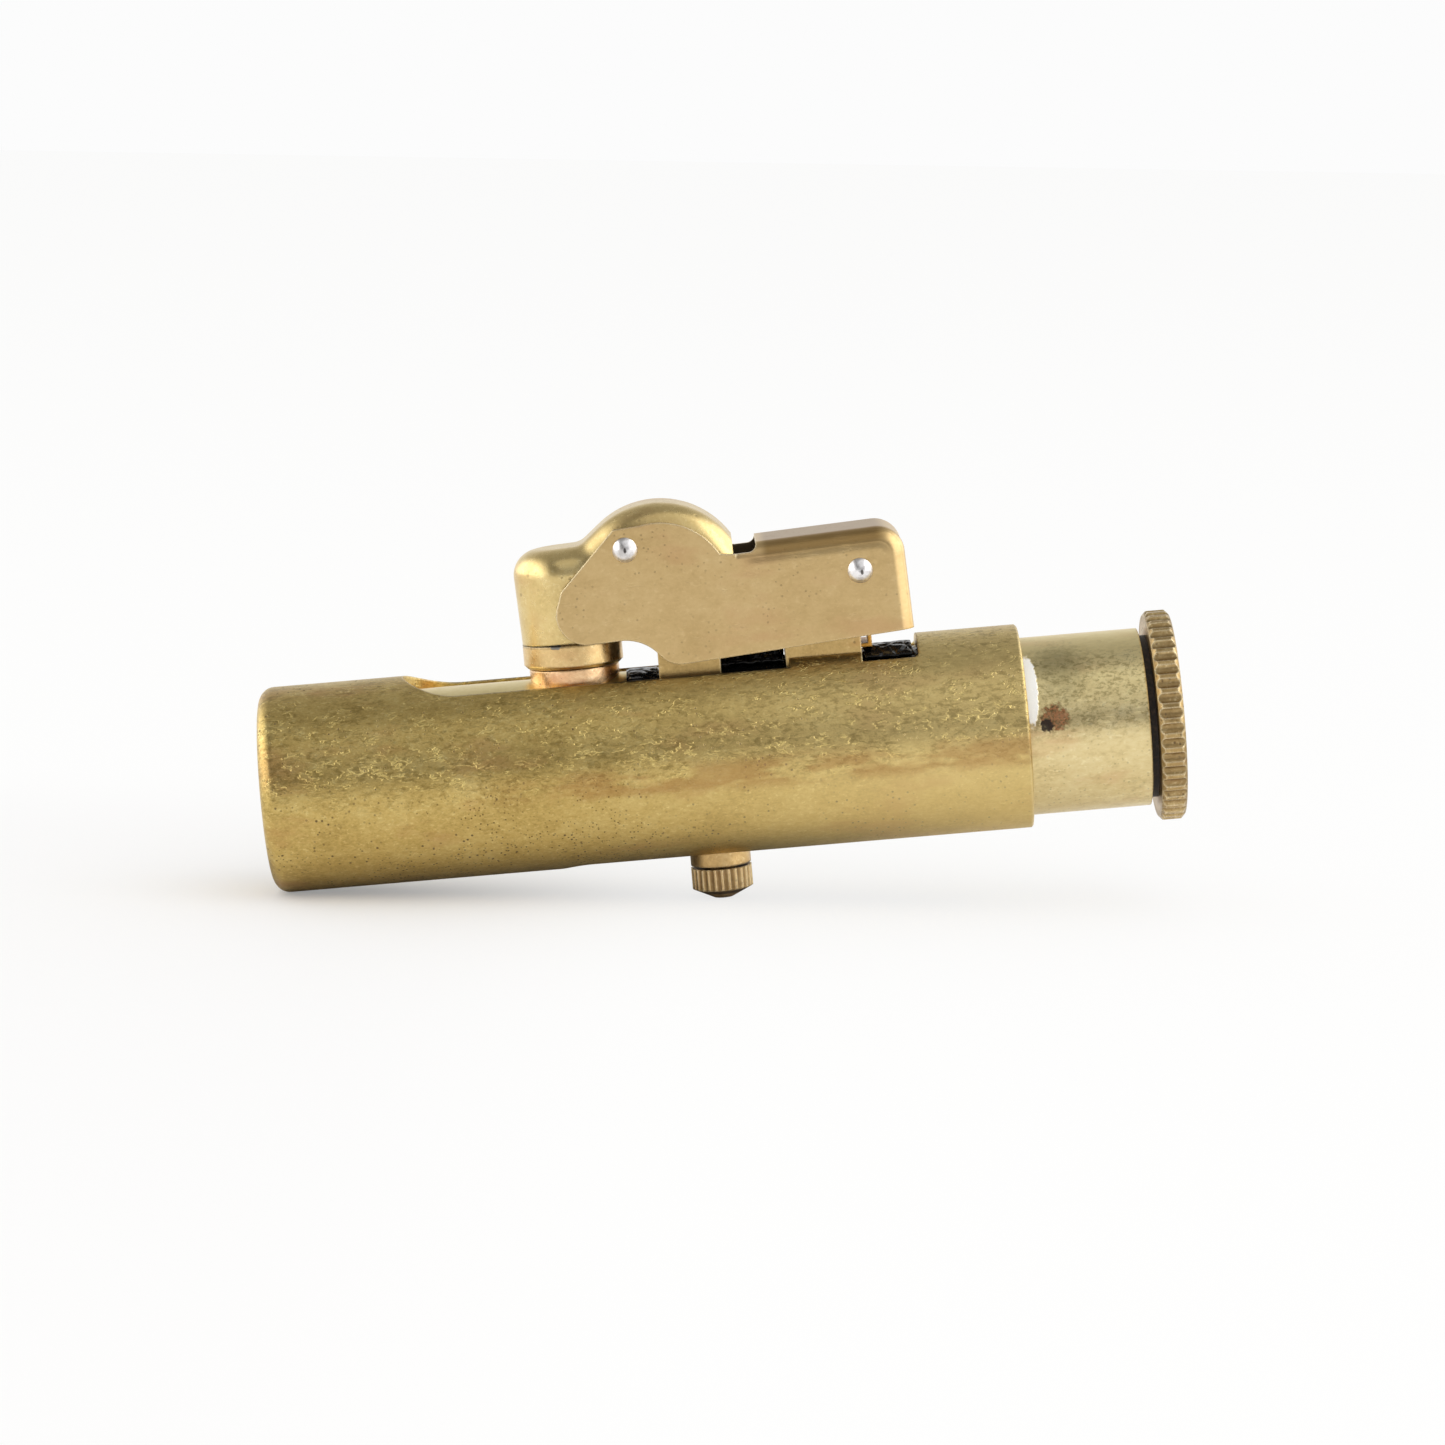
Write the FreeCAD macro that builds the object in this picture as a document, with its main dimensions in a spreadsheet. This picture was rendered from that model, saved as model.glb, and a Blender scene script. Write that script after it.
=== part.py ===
import FreeCAD, Part
import math
import os
import re
import Sketcher

# A brass pocket lighter. The fuel tank slides in the outer case and carries the flint, the wheel
# and the snuffer arm. The origin is the centre of the case's closed end, on the axis of the tubes:
# +X runs along the tubes to the filler screw and +Z points up to the arm. Sizes are in millimetres
# and degrees.

SIZES = {
    # outer case
    "case_diameter": 16.0,
    "case_wall": 0.95,
    "case_length": 59.0,
    "case_end_thickness": 1.0,
    "case_rounding": 1.2,
    "mouth_chamfer": 0.15,
    "mouth_land": 7.86,
    "slot_width": 8.8,
    "slot_corner": 0.5,
    "tongue_gap": 6.8,
    "tongue_length": 5.6,
    "tongue_to_slot_end": 4.34,
    "under_slot_width": 5.5,
    # how far the tank slides in, and the room that is left there
    "slide_travel": 9.2,
    "slide_margin": 0.67,
    "slide_end_space": 1.45,
    # fuel tank
    "tank_clearance": 0.15,
    "tank_wall": 0.5,
    "tank_cap_thickness": 0.8,
    "solder_gap": 0.02,
    "liner_thickness": 0.1,
    "liner_to_burner": 4.0,
    "liner_length": 27.4,
    "wadding_gap": 0.3,
    "wadding_end_space": 1.2,
    # filler
    "filler_bush_length": 3.0,
    "filler_bush_wall": 1.9,
    "gasket_inset": 0.6,
    "gasket_thickness": 0.6,
    "disc_diameter": 16.3,
    "disc_thickness": 1.95,
    "disc_chamfer": 0.3,
    "flute_count": 44,
    "flute_radius": 0.45,
    "flute_depth": 0.25,
    "thread_clearance": 0.05,
    "face_gap": 0.02,
    # burner and wick
    "burner_to_flint": 10.05,
    "collar_diameter": 6.95,
    "collar_rise": 0.85,
    "wick_tube_diameter": 3.4,
    "wick_tube_wall": 0.4,
    "wick_tube_rise": 1.3,
    "wick_tube_depth": 2.5,
    "wick_rise": 0.6,
    "wick_depth": 5.0,
    "wick_gap": 0.03,
    # flint and its screw
    "flint_to_mouth": 24.35,
    "flint_tube_diameter": 3.6,
    "flint_tube_bore": 2.8,
    "flint_tube_foot": 0.35,
    "flint_tube_drop": 0.25,
    "bush_diameter": 4.7,
    "bush_drop": 0.65,
    "screw_gap": 0.2,
    "screw_head_diameter": 4.74,
    "screw_rib_length": 1.65,
    "screw_cone_length": 0.8,
    "screw_tip_diameter": 1.5,
    "screw_rib_count": 26,
    "screw_rib_radius": 0.2,
    "screw_rib_depth": 0.17,
    "screw_shank_length": 4.85,
    "flint_diameter": 2.4,
    "flint_length": 4.0,
    "flint_gap": 0.05,
    "pusher_length": 2.0,
    "spring_wire": 0.36,
    "spring_pitch": 0.8,
    # spark wheel
    "wheel_rise": 4.7,
    "wheel_diameter": 8.0,
    "wheel_side_gap": 0.3,
    "tooth_count": 36,
    "tooth_radius": 0.24,
    "tooth_depth": 0.2,
    "axle_diameter": 1.5,
    "running_gap": 0.03,
    # bracket
    "bracket_width": 6.3,
    "bracket_wall": 0.6,
    "bracket_lead": 3.5,
    "bracket_trail": 0.35,
    "bracket_shoulder": 2.0,
    "bracket_valley": 1.0,
    "axle_ear_radius": 1.9,
    "pivot_ear_radius": 1.7,
    "pivot_ear_turn": 170,
    "axle_ear_dip": 20,
    "window_start": 1.27,
    "window_length": 5.03,
    "window_rise": 1.7,
    # arm, drawn about its pivot: u runs along the arm and w across it, upward
    "pivot_to_flint": 12.53,
    "pivot_rise": 6.77,
    "arm_tilt": 2.5,
    "lever_sheet": 0.45,
    "lever_hood_gap": 0.02,
    "lever_top": 3.16,
    "lever_end": 3.6,
    "lever_bottom_right": -4.95,
    "lever_bottom_left": -5.45,
    "web_length": 7.7,
    "fold_radius": 1.1,
    "lever_corner_radius": 2.1,
    "end_window_width": 6.6,
    "end_window_top": 2.1,
    "notch_floor": 2.45,
    "notch_lead": 1.6,
    "notch_corner": 0.6,
    "step_to_cup": 8.3,
    "step_radius": 2.1,
    "step_turn": 55,
    "lobe_bottom": -3.05,
    "lobe_radius": 2.3,
    "lobe_to_cup": 1.33,
    "lobe_turn": 110,
    "shoulder_low_u": -0.35,
    "shoulder_low_w": 1.25,
    "shoulder_top_u": 4.2,
    "shoulder_top_w": 5.5,
    "cheek_dome_radius": 5.5,
    "cheek_dome_rear": 27,
    "cheek_dome_front": 100,
    "dome_to_cup": 7.2,
    "dome_w": 0.15,
    # hood
    "hood_width": 7.7,
    "hood_sheet": 0.5,
    "hood_nose": 3.95,
    "hood_nose_radius": 3.8,
    "hood_bottom": -2.8,
    "hood_nose_top": 4.4,
    "hood_dome_radius": 6.85,
    "hood_slope": 37,
    "hood_dome_end": 30,
    "hood_edge_radius": 2.0,
    "hood_valley_radius": 1.6,
    # snuffer cup
    "cup_diameter": 7.7,
    "cup_gap": 0.1,
    "cup_ring_height": 1.83,
    "cup_bore": 5.8,
    "cup_neck_diameter": 6.3,
    "cup_height": 4.2,
    "cup_roof": 0.4,
    "cup_chamfer": 0.25,
    # rivets, washers and the spring of the arm
    "rivet_head_diameter": 1.95,
    "rivet_head_height": 0.5,
    "pivot_pin_diameter": 1.4,
    "hood_rivet_diameter": 1.1,
    "hood_rivet_to_cup": 4.93,
    "hood_rivet_w": 3.86,
    "washer_diameter": 3.4,
    "heel_radius": 1.9,
    "heel_seat_width": 2.8,
    "heel_gap": 0.1,
    "heel_side_gap": 0.1,
    "leaf_thickness": 0.3,
    "leaf_width": 4.2,
    "leaf_back": 0.52,
    "leaf_base_length": 5.2,
    "leaf_top_length": 3.2,
}

# Lengths that follow from the sizes above.
DERIVED = {
    "case_radius": "case_diameter / 2",
    "bore_radius": "case_radius - case_wall",
    "slot_end": "case_length - mouth_land",
    "slot_start": "burner_x - collar_diameter / 2 - slide_travel - slide_margin",
    "slot_radius": "slot_width / 2",
    "tongue_end": "slot_end - tongue_to_slot_end",
    "tongue_start": "tongue_end - tongue_length",
    "under_slot_radius": "under_slot_width / 2",
    "under_slot_centre": "flint_x - slide_travel - slide_margin",
    "tank_radius": "bore_radius - tank_clearance",
    "tank_bore": "tank_radius - tank_wall",
    "tank_start": "case_end_thickness + slide_travel + slide_margin + slide_end_space",
    "tank_end": "case_length + slide_travel + slide_margin - gasket_thickness",
    "disc_start": "tank_end + gasket_thickness",
    "flint_x": "case_length - flint_to_mouth",
    "burner_x": "flint_x - burner_to_flint",
    "liner_start": "burner_x + liner_to_burner",
    "thread_radius": "tank_bore - filler_bush_wall",
    "gasket_radius": "tank_radius - gasket_inset",
    "collar_top": "tank_radius + collar_rise",
    "wick_tube_top": "collar_top + wick_tube_rise",
    "wick_tube_radius": "wick_tube_diameter / 2",
    "wick_radius": "wick_tube_radius - wick_tube_wall - wick_gap",
    "flint_tube_radius": "flint_tube_diameter / 2",
    "bush_bottom": "-case_radius - bush_drop",
    "screw_top": "bush_bottom - screw_gap",
    "wheel_radius": "wheel_diameter / 2",
    "wheel_height": "tank_radius + wheel_rise",
    "flint_top": "wheel_height - wheel_radius - flint_gap",
    "flint_bottom": "flint_top - flint_length",
    "pusher_bottom": "flint_bottom - pusher_length",
    "shank_top": "screw_top + screw_shank_length",
    "spring_length": "pusher_bottom - shank_top",
    "bracket_half": "bracket_width / 2",
    "bracket_inside": "bracket_half - bracket_wall",
    "bracket_floor": "tank_radius + bracket_wall",
    "bracket_start": "flint_x - bracket_lead",
    "bracket_end": "pivot_x - bracket_trail",
    "window_x": "flint_x + window_start",
    "window_end": "window_x + window_length",
    "window_height": "tank_radius + window_rise",
    "pivot_x": "flint_x + pivot_to_flint",
    "pivot_height": "tank_radius + pivot_rise",
    "cup_u": "-(pivot_to_flint + burner_to_flint) / cos(arm_tilt)",
    "dome_u": "cup_u + dome_to_cup",
    "hood_half": "hood_width / 2",
    "hood_front": "cup_u - hood_nose",
    "slope_rise": "dome_w + hood_dome_radius * cos(hood_slope) - hood_nose_top",
    "slope_foot_u": "dome_u - hood_dome_radius * sin(hood_slope) - slope_rise / tan(hood_slope)",
    "hood_back": "dome_u + hood_dome_radius * cos(hood_dome_end)",
    "lever_inside": "hood_half + lever_hood_gap",
    "lever_half": "lever_inside + lever_sheet",
    "web_inside": "lever_top - lever_sheet",
    "notch_u": "-web_length - notch_lead",
    "lever_bottom_slope": "(lever_bottom_right - lever_bottom_left) / (lever_end - step_u)",
    "notch_under_w": "lever_bottom_left + lever_bottom_slope * (notch_u - step_u)",
    "step_u": "cup_u + step_to_cup",
    "step_rise": "lobe_bottom - lever_bottom_left",
    "step_far_radius": "step_rise / (1 - cos(step_turn)) - step_radius",
    "lobe_u": "cup_u + lobe_to_cup",
    "rivet_u": "cup_u + hood_rivet_to_cup",
    "rivet_x": "pivot_x + rivet_u * cos(arm_tilt) - hood_rivet_w * sin(arm_tilt)",
    "rivet_z": "pivot_height + rivet_u * sin(arm_tilt) + hood_rivet_w * cos(arm_tilt)",
    "rivet_sphere": "((rivet_head_diameter / 2) ^ 2 + rivet_head_height ^ 2) / (2 * rivet_head_height)",
    "cup_bottom": "collar_top + cup_gap",
    "heel_bottom": "pivot_height - heel_radius",
    "leaf_top": "heel_bottom - heel_gap",
    "leaf_right": "pivot_x + leaf_back",
}

NEAR = 0.001     # two lengths that differ by less count as equal

doc = FreeCAD.newDocument("PocketLighter")
nodes = []


# ---- sheet and expressions ------------------------------------------------------------------

def makeSheet():
    sheet = doc.addObject("Spreadsheet::Sheet", "Sizes")
    for row, (name, size) in enumerate(SIZES.items(), start=1):
        sheet.set(f"A{row}", name)
        sheet.set(f"B{row}", str(size))
        sheet.setAlias(f"B{row}", name)
    doc.recompute()
    return sheet


def spell(text):
    """Write an expression out in cells of the sheet."""
    def swap(match):
        word = match.group(0)
        if word in DERIVED:
            return "(" + spell(DERIVED[word]) + ")"
        return "Sizes." + word if word in SIZES else word
    return re.sub(r"[a-z]\w*", swap, str(text))


def value(text):
    return float(sheet.evalExpression(spell(text)))


def bind(item, **texts):
    for name, text in texts.items():
        item.setExpression(name, spell(text))


def place(item, x="0", y="0", z="0"):
    for axis, text in zip("xyz", (x, y, z)):
        item.setExpression(".Placement.Base." + axis, spell(text))


def placeOnArm(item):
    """Set an item that is drawn about the pivot into the arm, which tilts a little at rest."""
    item.Placement = FreeCAD.Placement(FreeCAD.Vector(), FreeCAD.Rotation(FreeCAD.Vector(0, -1, 0), 1))
    place(item, "pivot_x", "0", "pivot_height")
    item.setExpression(".Placement.Rotation.Angle", spell("arm_tilt"))


def node(item, label):
    item.Label = label
    nodes.append(item)
    return item


# ---- primitives -----------------------------------------------------------------------------

AXES = {
    "x": FreeCAD.Rotation(FreeCAD.Vector(0, 1, 0), 90),
    "y": FreeCAD.Rotation(FreeCAD.Vector(1, 0, 0), -90),
    "z": FreeCAD.Rotation(),
}


def cylinder(name, axis, radius, length, x="0", y="0", z="0"):
    """A cylinder that starts at the given place and runs along the axis."""
    rod = doc.addObject("Part::Cylinder", name)
    rod.Placement.Rotation = AXES[axis]
    bind(rod, Radius=radius, Height=length)
    place(rod, x, y, z)
    return rod


def block(name, x, y, z):
    """A box between the two limits given for each direction."""
    box = doc.addObject("Part::Box", name)
    bind(box, Length=f"{x[1]} - ({x[0]})", Width=f"{y[1]} - ({y[0]})", Height=f"{z[1]} - ({z[0]})")
    place(box, x[0], y[0], z[0])
    return box


def cut(name, base, *tools):
    for index, tool in enumerate(tools, start=1):
        result = doc.addObject("Part::Cut", f"{name}_cut{index}")
        result.Base = base
        result.Tool = tool
        base = result
    return base


def tube(name, axis, outer, inner, length, x="0", y="0", z="0"):
    outside = cylinder(name + "_outside", axis, outer, length, x, y, z)
    inside = cylinder(name + "_inside", axis, inner, length, x, y, z)
    return cut(name, outside, inside)


# ---- bodies and sketches --------------------------------------------------------------------

def makeBody(name):
    return doc.addObject("PartDesign::Body", name + "_body")


def makeSketch(body, plane, name):
    sketch = body.newObject("Sketcher::SketchObject", name)
    origin = next(item for item in body.Origin.OriginFeatures if item.Role == plane + "_Plane")
    sketch.AttachmentSupport = [(origin, "")]
    sketch.MapMode = "FlatFace"
    return sketch


def hold(sketch, kind, geometry, point, text):
    """Hold one coordinate of a sketch point at an expression."""
    index = sketch.addConstraint(Sketcher.Constraint(kind, geometry, point, value(text)))
    sketch.setExpression(f"Constraints[{index}]", spell(text))


def holdRadius(sketch, geometry, text):
    index = sketch.addConstraint(Sketcher.Constraint("Radius", geometry, value(text)))
    sketch.setExpression(f"Constraints[{index}]", spell(text))


def onArc(x, y, radius, angle):
    return (f"{x} + ({radius}) * cos({angle})", f"{y} + ({radius}) * sin({angle})")


def firstPoint(item):
    return item if len(item) == 2 else onArc(*item[:4])


def spot(point):
    return FreeCAD.Vector(value(point[0]), value(point[1]), 0)


def drawOutline(sketch, path):
    """Close a path of (x, y) corners and (x, y, radius, first angle, last angle) arcs."""
    stops = []
    for item, following in zip(path, path[1:] + path[:1]):
        stops.append((firstPoint(item), item[:3] if len(item) > 2 else None, item[3:]))
        if len(item) > 2:
            finish = onArc(*item[:3], item[4])
            if spot(finish).distanceToPoint(spot(firstPoint(following))) > NEAR:
                stops.append((finish, None, None))
    ends = []
    for (here, circle, angles), (there, _, _) in zip(stops, stops[1:] + stops[:1]):
        if circle is None:
            ends.append((sketch.addGeometry(Part.LineSegment(spot(here), spot(there))), 1, 2))
            continue
        first, last = (math.radians(value(angle)) for angle in angles)
        whole = Part.Circle(spot(circle[:2]), FreeCAD.Vector(0, 0, 1), value(circle[2]))
        edge = sketch.addGeometry(Part.ArcOfCircle(whole, min(first, last), max(first, last)))
        ends.append((edge, 1, 2) if last > first else (edge, 2, 1))
        if abs(math.cos((first + last) / 2)) > abs(math.sin((first + last) / 2)):
            hold(sketch, "DistanceX", edge, 3, circle[0])
        else:
            hold(sketch, "DistanceY", edge, 3, circle[1])
    for index, (edge, start, _) in enumerate(ends):
        before, _, meets = ends[index - 1]
        sketch.addConstraint(Sketcher.Constraint("Coincident", before, meets, edge, start))
        hold(sketch, "DistanceX", edge, start, stops[index][0][0])
        hold(sketch, "DistanceY", edge, start, stops[index][0][1])


def drawCircle(sketch, x, y, radius):
    centre = FreeCAD.Vector(value(x), value(y), 0)
    circle = sketch.addGeometry(Part.Circle(centre, FreeCAD.Vector(0, 0, 1), value(radius)))
    hold(sketch, "DistanceX", circle, 3, x)
    hold(sketch, "DistanceY", circle, 3, y)
    holdRadius(sketch, circle, radius)


def outlineSketch(body, plane, name, path):
    sketch = makeSketch(body, plane, name)
    drawOutline(sketch, path)
    return sketch


def circleSketch(body, plane, name, x, y, radius):
    sketch = makeSketch(body, plane, name)
    drawCircle(sketch, x, y, radius)
    return sketch


def pad(body, sketch, length):
    """Raise a sketch to a solid that is centred on the sketch's plane."""
    feature = body.newObject("PartDesign::Pad", sketch.Name + "_pad")
    feature.Profile = sketch
    feature.SideType = "Symmetric"
    bind(feature, Length=length)
    return feature


def pocket(body, sketch, side="Symmetric", reverse=False):
    """Cut a sketch right through the solid."""
    feature = body.newObject("PartDesign::Pocket", sketch.Name + "_pocket")
    feature.Profile = sketch
    feature.Type = "ThroughAll"
    feature.SideType = side
    feature.Reversed = reverse
    return feature


def revolve(body, sketch, axis, kind="PartDesign::Revolution"):
    feature = body.newObject(kind, sketch.Name + "_turned")
    feature.Profile = sketch
    feature.ReferenceAxis = (sketch, [axis])
    feature.Angle = 360
    return feature


def repeatRound(body, feature, role, count):
    axis = next(item for item in body.Origin.OriginFeatures if item.Role == role)
    pattern = body.newObject("PartDesign::PolarPattern", feature.Name + "_pattern")
    pattern.Originals = [feature]
    pattern.Axis = (axis, [""])
    pattern.Angle = 360
    bind(pattern, Occurrences=count)
    body.Tip = pattern
    return pattern


def rectangle(left, right, bottom, top):
    return [(left, bottom), (right, bottom), (right, top), (left, top)]


# ---- case -----------------------------------------------------------------------------------

def makeCase():
    body = makeBody("case")
    wall = outlineSketch(body, "XZ", "case_wall_profile", [
        ("0", "0"),
        ("case_end_thickness", "0"),
        ("case_end_thickness", "bore_radius"),
        ("case_length", "bore_radius"),
        ("case_length", "case_radius - mouth_chamfer"),
        ("case_length - mouth_chamfer", "case_radius"),
        ("case_rounding", "case_radius - case_rounding", "case_rounding", "90", "180"),
    ])
    revolve(body, wall, "H_Axis")
    slot = outlineSketch(body, "XY", "top_slot", [
        ("slot_start + slot_radius", "0", "slot_radius", "90", "270"),
        ("tongue_start", "-slot_radius"),
        ("tongue_start", "-tongue_gap / 2"),
        ("tongue_end", "-tongue_gap / 2"),
        ("tongue_end", "-slot_radius"),
        ("slot_end - slot_corner", "-slot_radius + slot_corner", "slot_corner", "270", "360"),
        ("slot_end - slot_corner", "slot_radius - slot_corner", "slot_corner", "0", "90"),
        ("tongue_end", "slot_radius"),
        ("tongue_end", "tongue_gap / 2"),
        ("tongue_start", "tongue_gap / 2"),
        ("tongue_start", "slot_radius"),
    ])
    pocket(body, slot, "One side", reverse=True)
    under = outlineSketch(body, "XY", "under_slot", [
        ("under_slot_centre", "0", "under_slot_radius", "90", "270"),
        ("case_length + case_wall", "-under_slot_radius"),
        ("case_length + case_wall", "under_slot_radius"),
    ])
    pocket(body, under, "One side")
    node(body, "case_tube")


# ---- tank and what is fixed in it -----------------------------------------------------------

def makeTank():
    length = "tank_end - tank_start"
    shell = tube("tank", "x", "tank_radius", "tank_bore", length, "tank_start")
    flintHole = cylinder("tank_flint_hole", "z", "flint_tube_radius + solder_gap", "case_diameter",
                         "flint_x", "0", "-case_radius")
    wickHole = cylinder("tank_wick_hole", "z", "wick_tube_radius + solder_gap", "case_radius", "burner_x")
    node(cut("tank_tube", shell, flintHole, wickHole), "tank_tube")

    cap = cylinder("tank_cap", "x", "tank_bore - solder_gap", "tank_cap_thickness", "tank_start")
    node(cap, "tank_end_cap")

    bush = tube("filler_bush", "x", "tank_bore - solder_gap", "thread_radius",
                "filler_bush_length", "tank_end - filler_bush_length")
    node(bush, "filler_bush")


def makeLiner():
    wrap = tube("liner", "x", "tank_radius + liner_thickness", "tank_radius", "liner_length", "liner_start")
    feet = [
        block("liner_front_gap", ("bracket_start", "window_x"), ("-bracket_half", "bracket_half"),
              ("0", "case_radius")),
        block("liner_rear_gap", ("window_end", "bracket_end"), ("-bracket_half", "bracket_half"),
              ("0", "case_radius")),
    ]
    bushHole = cylinder("liner_bush_hole", "z", "bush_diameter / 2 + solder_gap", "case_radius", "flint_x",
                        "0", "-case_radius")
    tubeHole = cylinder("liner_tube_hole", "z", "flint_tube_radius + solder_gap", "case_radius", "flint_x")
    node(cut("friction_liner", wrap, *feet, bushHole, tubeHole), "friction_liner")


def makeWadding():
    start = "tank_start + tank_cap_thickness + wadding_end_space"
    end = "tank_end - filler_bush_length - wadding_end_space"
    roll = cylinder("wadding_roll", "x", "tank_bore - wadding_gap", f"{end} - ({start})", start)
    flintPath = cylinder("wadding_flint_path", "z", "flint_tube_radius + wadding_gap", "case_diameter",
                         "flint_x", "0", "-case_radius")
    wickPath = cylinder("wadding_wick_path", "z", "wick_radius + wick_gap", "case_radius + wick_depth",
                        "burner_x", "0", "-wick_depth")
    tubePath = cylinder("wadding_tube_path", "z", "wick_tube_radius + wick_gap", "case_radius", "burner_x",
                        "0", "tank_radius - wick_tube_depth - wick_gap")
    node(cut("cotton_wadding", roll, flintPath, wickPath, tubePath), "cotton_wadding")


def makeBurner():
    collar = tube("collar", "z", "collar_diameter / 2", "wick_tube_radius + solder_gap", "collar_top",
                  "burner_x")
    seat = cylinder("collar_seat", "x", "tank_radius", "collar_diameter * 2", "burner_x - collar_diameter")
    node(cut("burner_collar", collar, seat), "burner_collar")

    bottom = "tank_radius - wick_tube_depth"
    pipe = tube("wick_tube", "z", "wick_tube_radius", "wick_tube_radius - wick_tube_wall",
                f"wick_tube_top - ({bottom})", "burner_x", "0", bottom)
    node(pipe, "wick_tube")

    wick = cylinder("wick_rod", "z", "wick_radius", "wick_tube_top + wick_rise + wick_depth", "burner_x",
                    "0", "-wick_depth")
    node(wick, "wick")


# ---- filler screw and gasket ----------------------------------------------------------------

def makeFiller():
    gasket = tube("gasket", "x", "gasket_radius", "thread_radius + face_gap",
                  "gasket_thickness - 2 * face_gap", "tank_end + face_gap")
    node(gasket, "filler_gasket")

    body = makeBody("filler")
    stem = "thread_radius - thread_clearance"
    profile = outlineSketch(body, "XZ", "filler_profile", [
        ("-gasket_thickness - filler_bush_length", "0"),
        ("disc_thickness", "0"),
        ("disc_thickness", "disc_diameter / 2 - disc_chamfer"),
        ("disc_thickness - disc_chamfer", "disc_diameter / 2"),
        ("disc_chamfer", "disc_diameter / 2"),
        ("0", "disc_diameter / 2 - disc_chamfer"),
        ("0", stem),
        ("-gasket_thickness - filler_bush_length", stem),
    ])
    revolve(body, profile, "H_Axis")
    flute = circleSketch(body, "YZ", "filler_flute", "disc_diameter / 2 + flute_radius - flute_depth", "0",
                         "flute_radius")
    repeatRound(body, pocket(body, flute, "One side", reverse=True), "X_Axis", "flute_count")
    place(body, "disc_start")
    node(body, "filler_screw")


# ---- flint, its tube, spring and screw --------------------------------------------------------

def makeFlintTube():
    bottom = "bush_bottom + flint_tube_foot"
    pipe = tube("flint_tube", "z", "flint_tube_radius", "flint_tube_bore / 2",
                f"flint_top - flint_tube_drop - ({bottom})", "flint_x", "0", bottom)
    node(pipe, "flint_tube")


def makeFlintBush():
    ring = tube("bush", "z", "bush_diameter / 2", "flint_tube_radius + solder_gap",
                "case_radius + bush_drop", "flint_x", "0", "bush_bottom")
    seat = cylinder("bush_seat", "x", "tank_radius", "bush_diameter * 2", "flint_x - bush_diameter")
    node(cut("flint_bush", ring, seat), "flint_bush")


def makeFlintScrew():
    body = makeBody("flint_screw")
    head = "screw_head_diameter / 2"
    shank = "flint_tube_bore / 2 - thread_clearance"
    profile = outlineSketch(body, "XZ", "flint_screw_profile", [
        ("0", "-screw_rib_length - screw_cone_length"),
        ("screw_tip_diameter / 2", "-screw_rib_length - screw_cone_length"),
        (head, "-screw_rib_length"),
        (head, "0"),
        (shank, "0"),
        (shank, "screw_shank_length"),
        ("0", "screw_shank_length"),
    ])
    revolve(body, profile, "V_Axis")
    rib = circleSketch(body, "XY", "flint_screw_rib", f"{head} + screw_rib_radius - screw_rib_depth", "0",
                       "screw_rib_radius")
    repeatRound(body, pocket(body, rib, "One side"), "Z_Axis", "screw_rib_count")
    place(body, "flint_x", "0", "screw_top")
    node(body, "flint_screw")


def makeFlint():
    flint = cylinder("flint_rod", "z", "flint_diameter / 2", "flint_length", "flint_x", "0", "flint_bottom")
    node(flint, "flint")
    pusher = cylinder("pusher_rod", "z", "flint_tube_bore / 2 - thread_clearance",
                      "pusher_length - face_gap", "flint_x", "0", "pusher_bottom")
    node(pusher, "flint_pusher")


def makeFlintSpring():
    """A close coil between the screw's shank and the pusher."""
    coilRadius = "flint_diameter / 2 - spring_wire / 2"
    spine = doc.addObject("Part::Helix", "spring_spine")
    bind(spine, Pitch="spring_pitch", Height="spring_length - spring_wire - 2 * face_gap", Radius=coilRadius)
    wire = doc.addObject("Part::Circle", "spring_wire_section")
    wire.Placement.Rotation = AXES["y"]
    bind(wire, Radius="spring_wire / 2")
    place(wire, coilRadius)
    coil = doc.addObject("Part::Sweep", "flint_spring_coil")
    coil.Sections = [wire]
    coil.Spine = (spine, ["Edge1"])
    coil.Solid = True
    coil.Frenet = True
    place(coil, "flint_x", "0", "shank_top + spring_wire / 2 + face_gap")
    node(coil, "flint_spring")


# ---- bracket, wheel and axle ----------------------------------------------------------------

def makeBracket():
    body = makeBody("bracket")
    sides = outlineSketch(body, "XZ", "bracket_sides", [
        ("bracket_start", "0"),
        ("bracket_end", "0"),
        ("bracket_end", "pivot_height - pivot_ear_radius * 2"),
        ("pivot_x", "pivot_height", "pivot_ear_radius", "0", "pivot_ear_turn"),
        ("window_end - bracket_valley", "wheel_height - bracket_valley"),
        ("flint_x", "wheel_height", "axle_ear_radius", "-axle_ear_dip", "180 + axle_ear_dip"),
        ("bracket_start", "wheel_height - bracket_shoulder"),
    ])
    pad(body, sides, "bracket_width")
    inside = outlineSketch(body, "YZ", "bracket_inside_profile",
                           rectangle("-bracket_inside", "bracket_inside", "bracket_floor",
                                     "pivot_height + pivot_ear_radius * 2"))
    pocket(body, inside)
    window = outlineSketch(body, "XZ", "bracket_window",
                           rectangle("window_x", "window_end", "-bracket_wall", "window_height"))
    pocket(body, window)
    saddle = outlineSketch(body, "XZ", "bracket_saddle",
                           rectangle("bracket_start - bracket_wall", "bracket_end + bracket_wall", "0",
                                     "tank_radius"))
    revolve(body, saddle, "H_Axis", "PartDesign::Groove")
    holes = (
        ("axle_hole", "XZ", "flint_x", "wheel_height", "axle_diameter / 2 + solder_gap"),
        ("pivot_hole", "XZ", "pivot_x", "pivot_height", "pivot_pin_diameter / 2 + running_gap"),
        ("flint_tube_hole", "XY", "flint_x", "0", "flint_tube_radius + solder_gap"),
    )
    for name, plane, x, y, radius in holes:
        pocket(body, circleSketch(body, plane, name, x, y, radius))
    node(body, "wheel_bracket")


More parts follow.
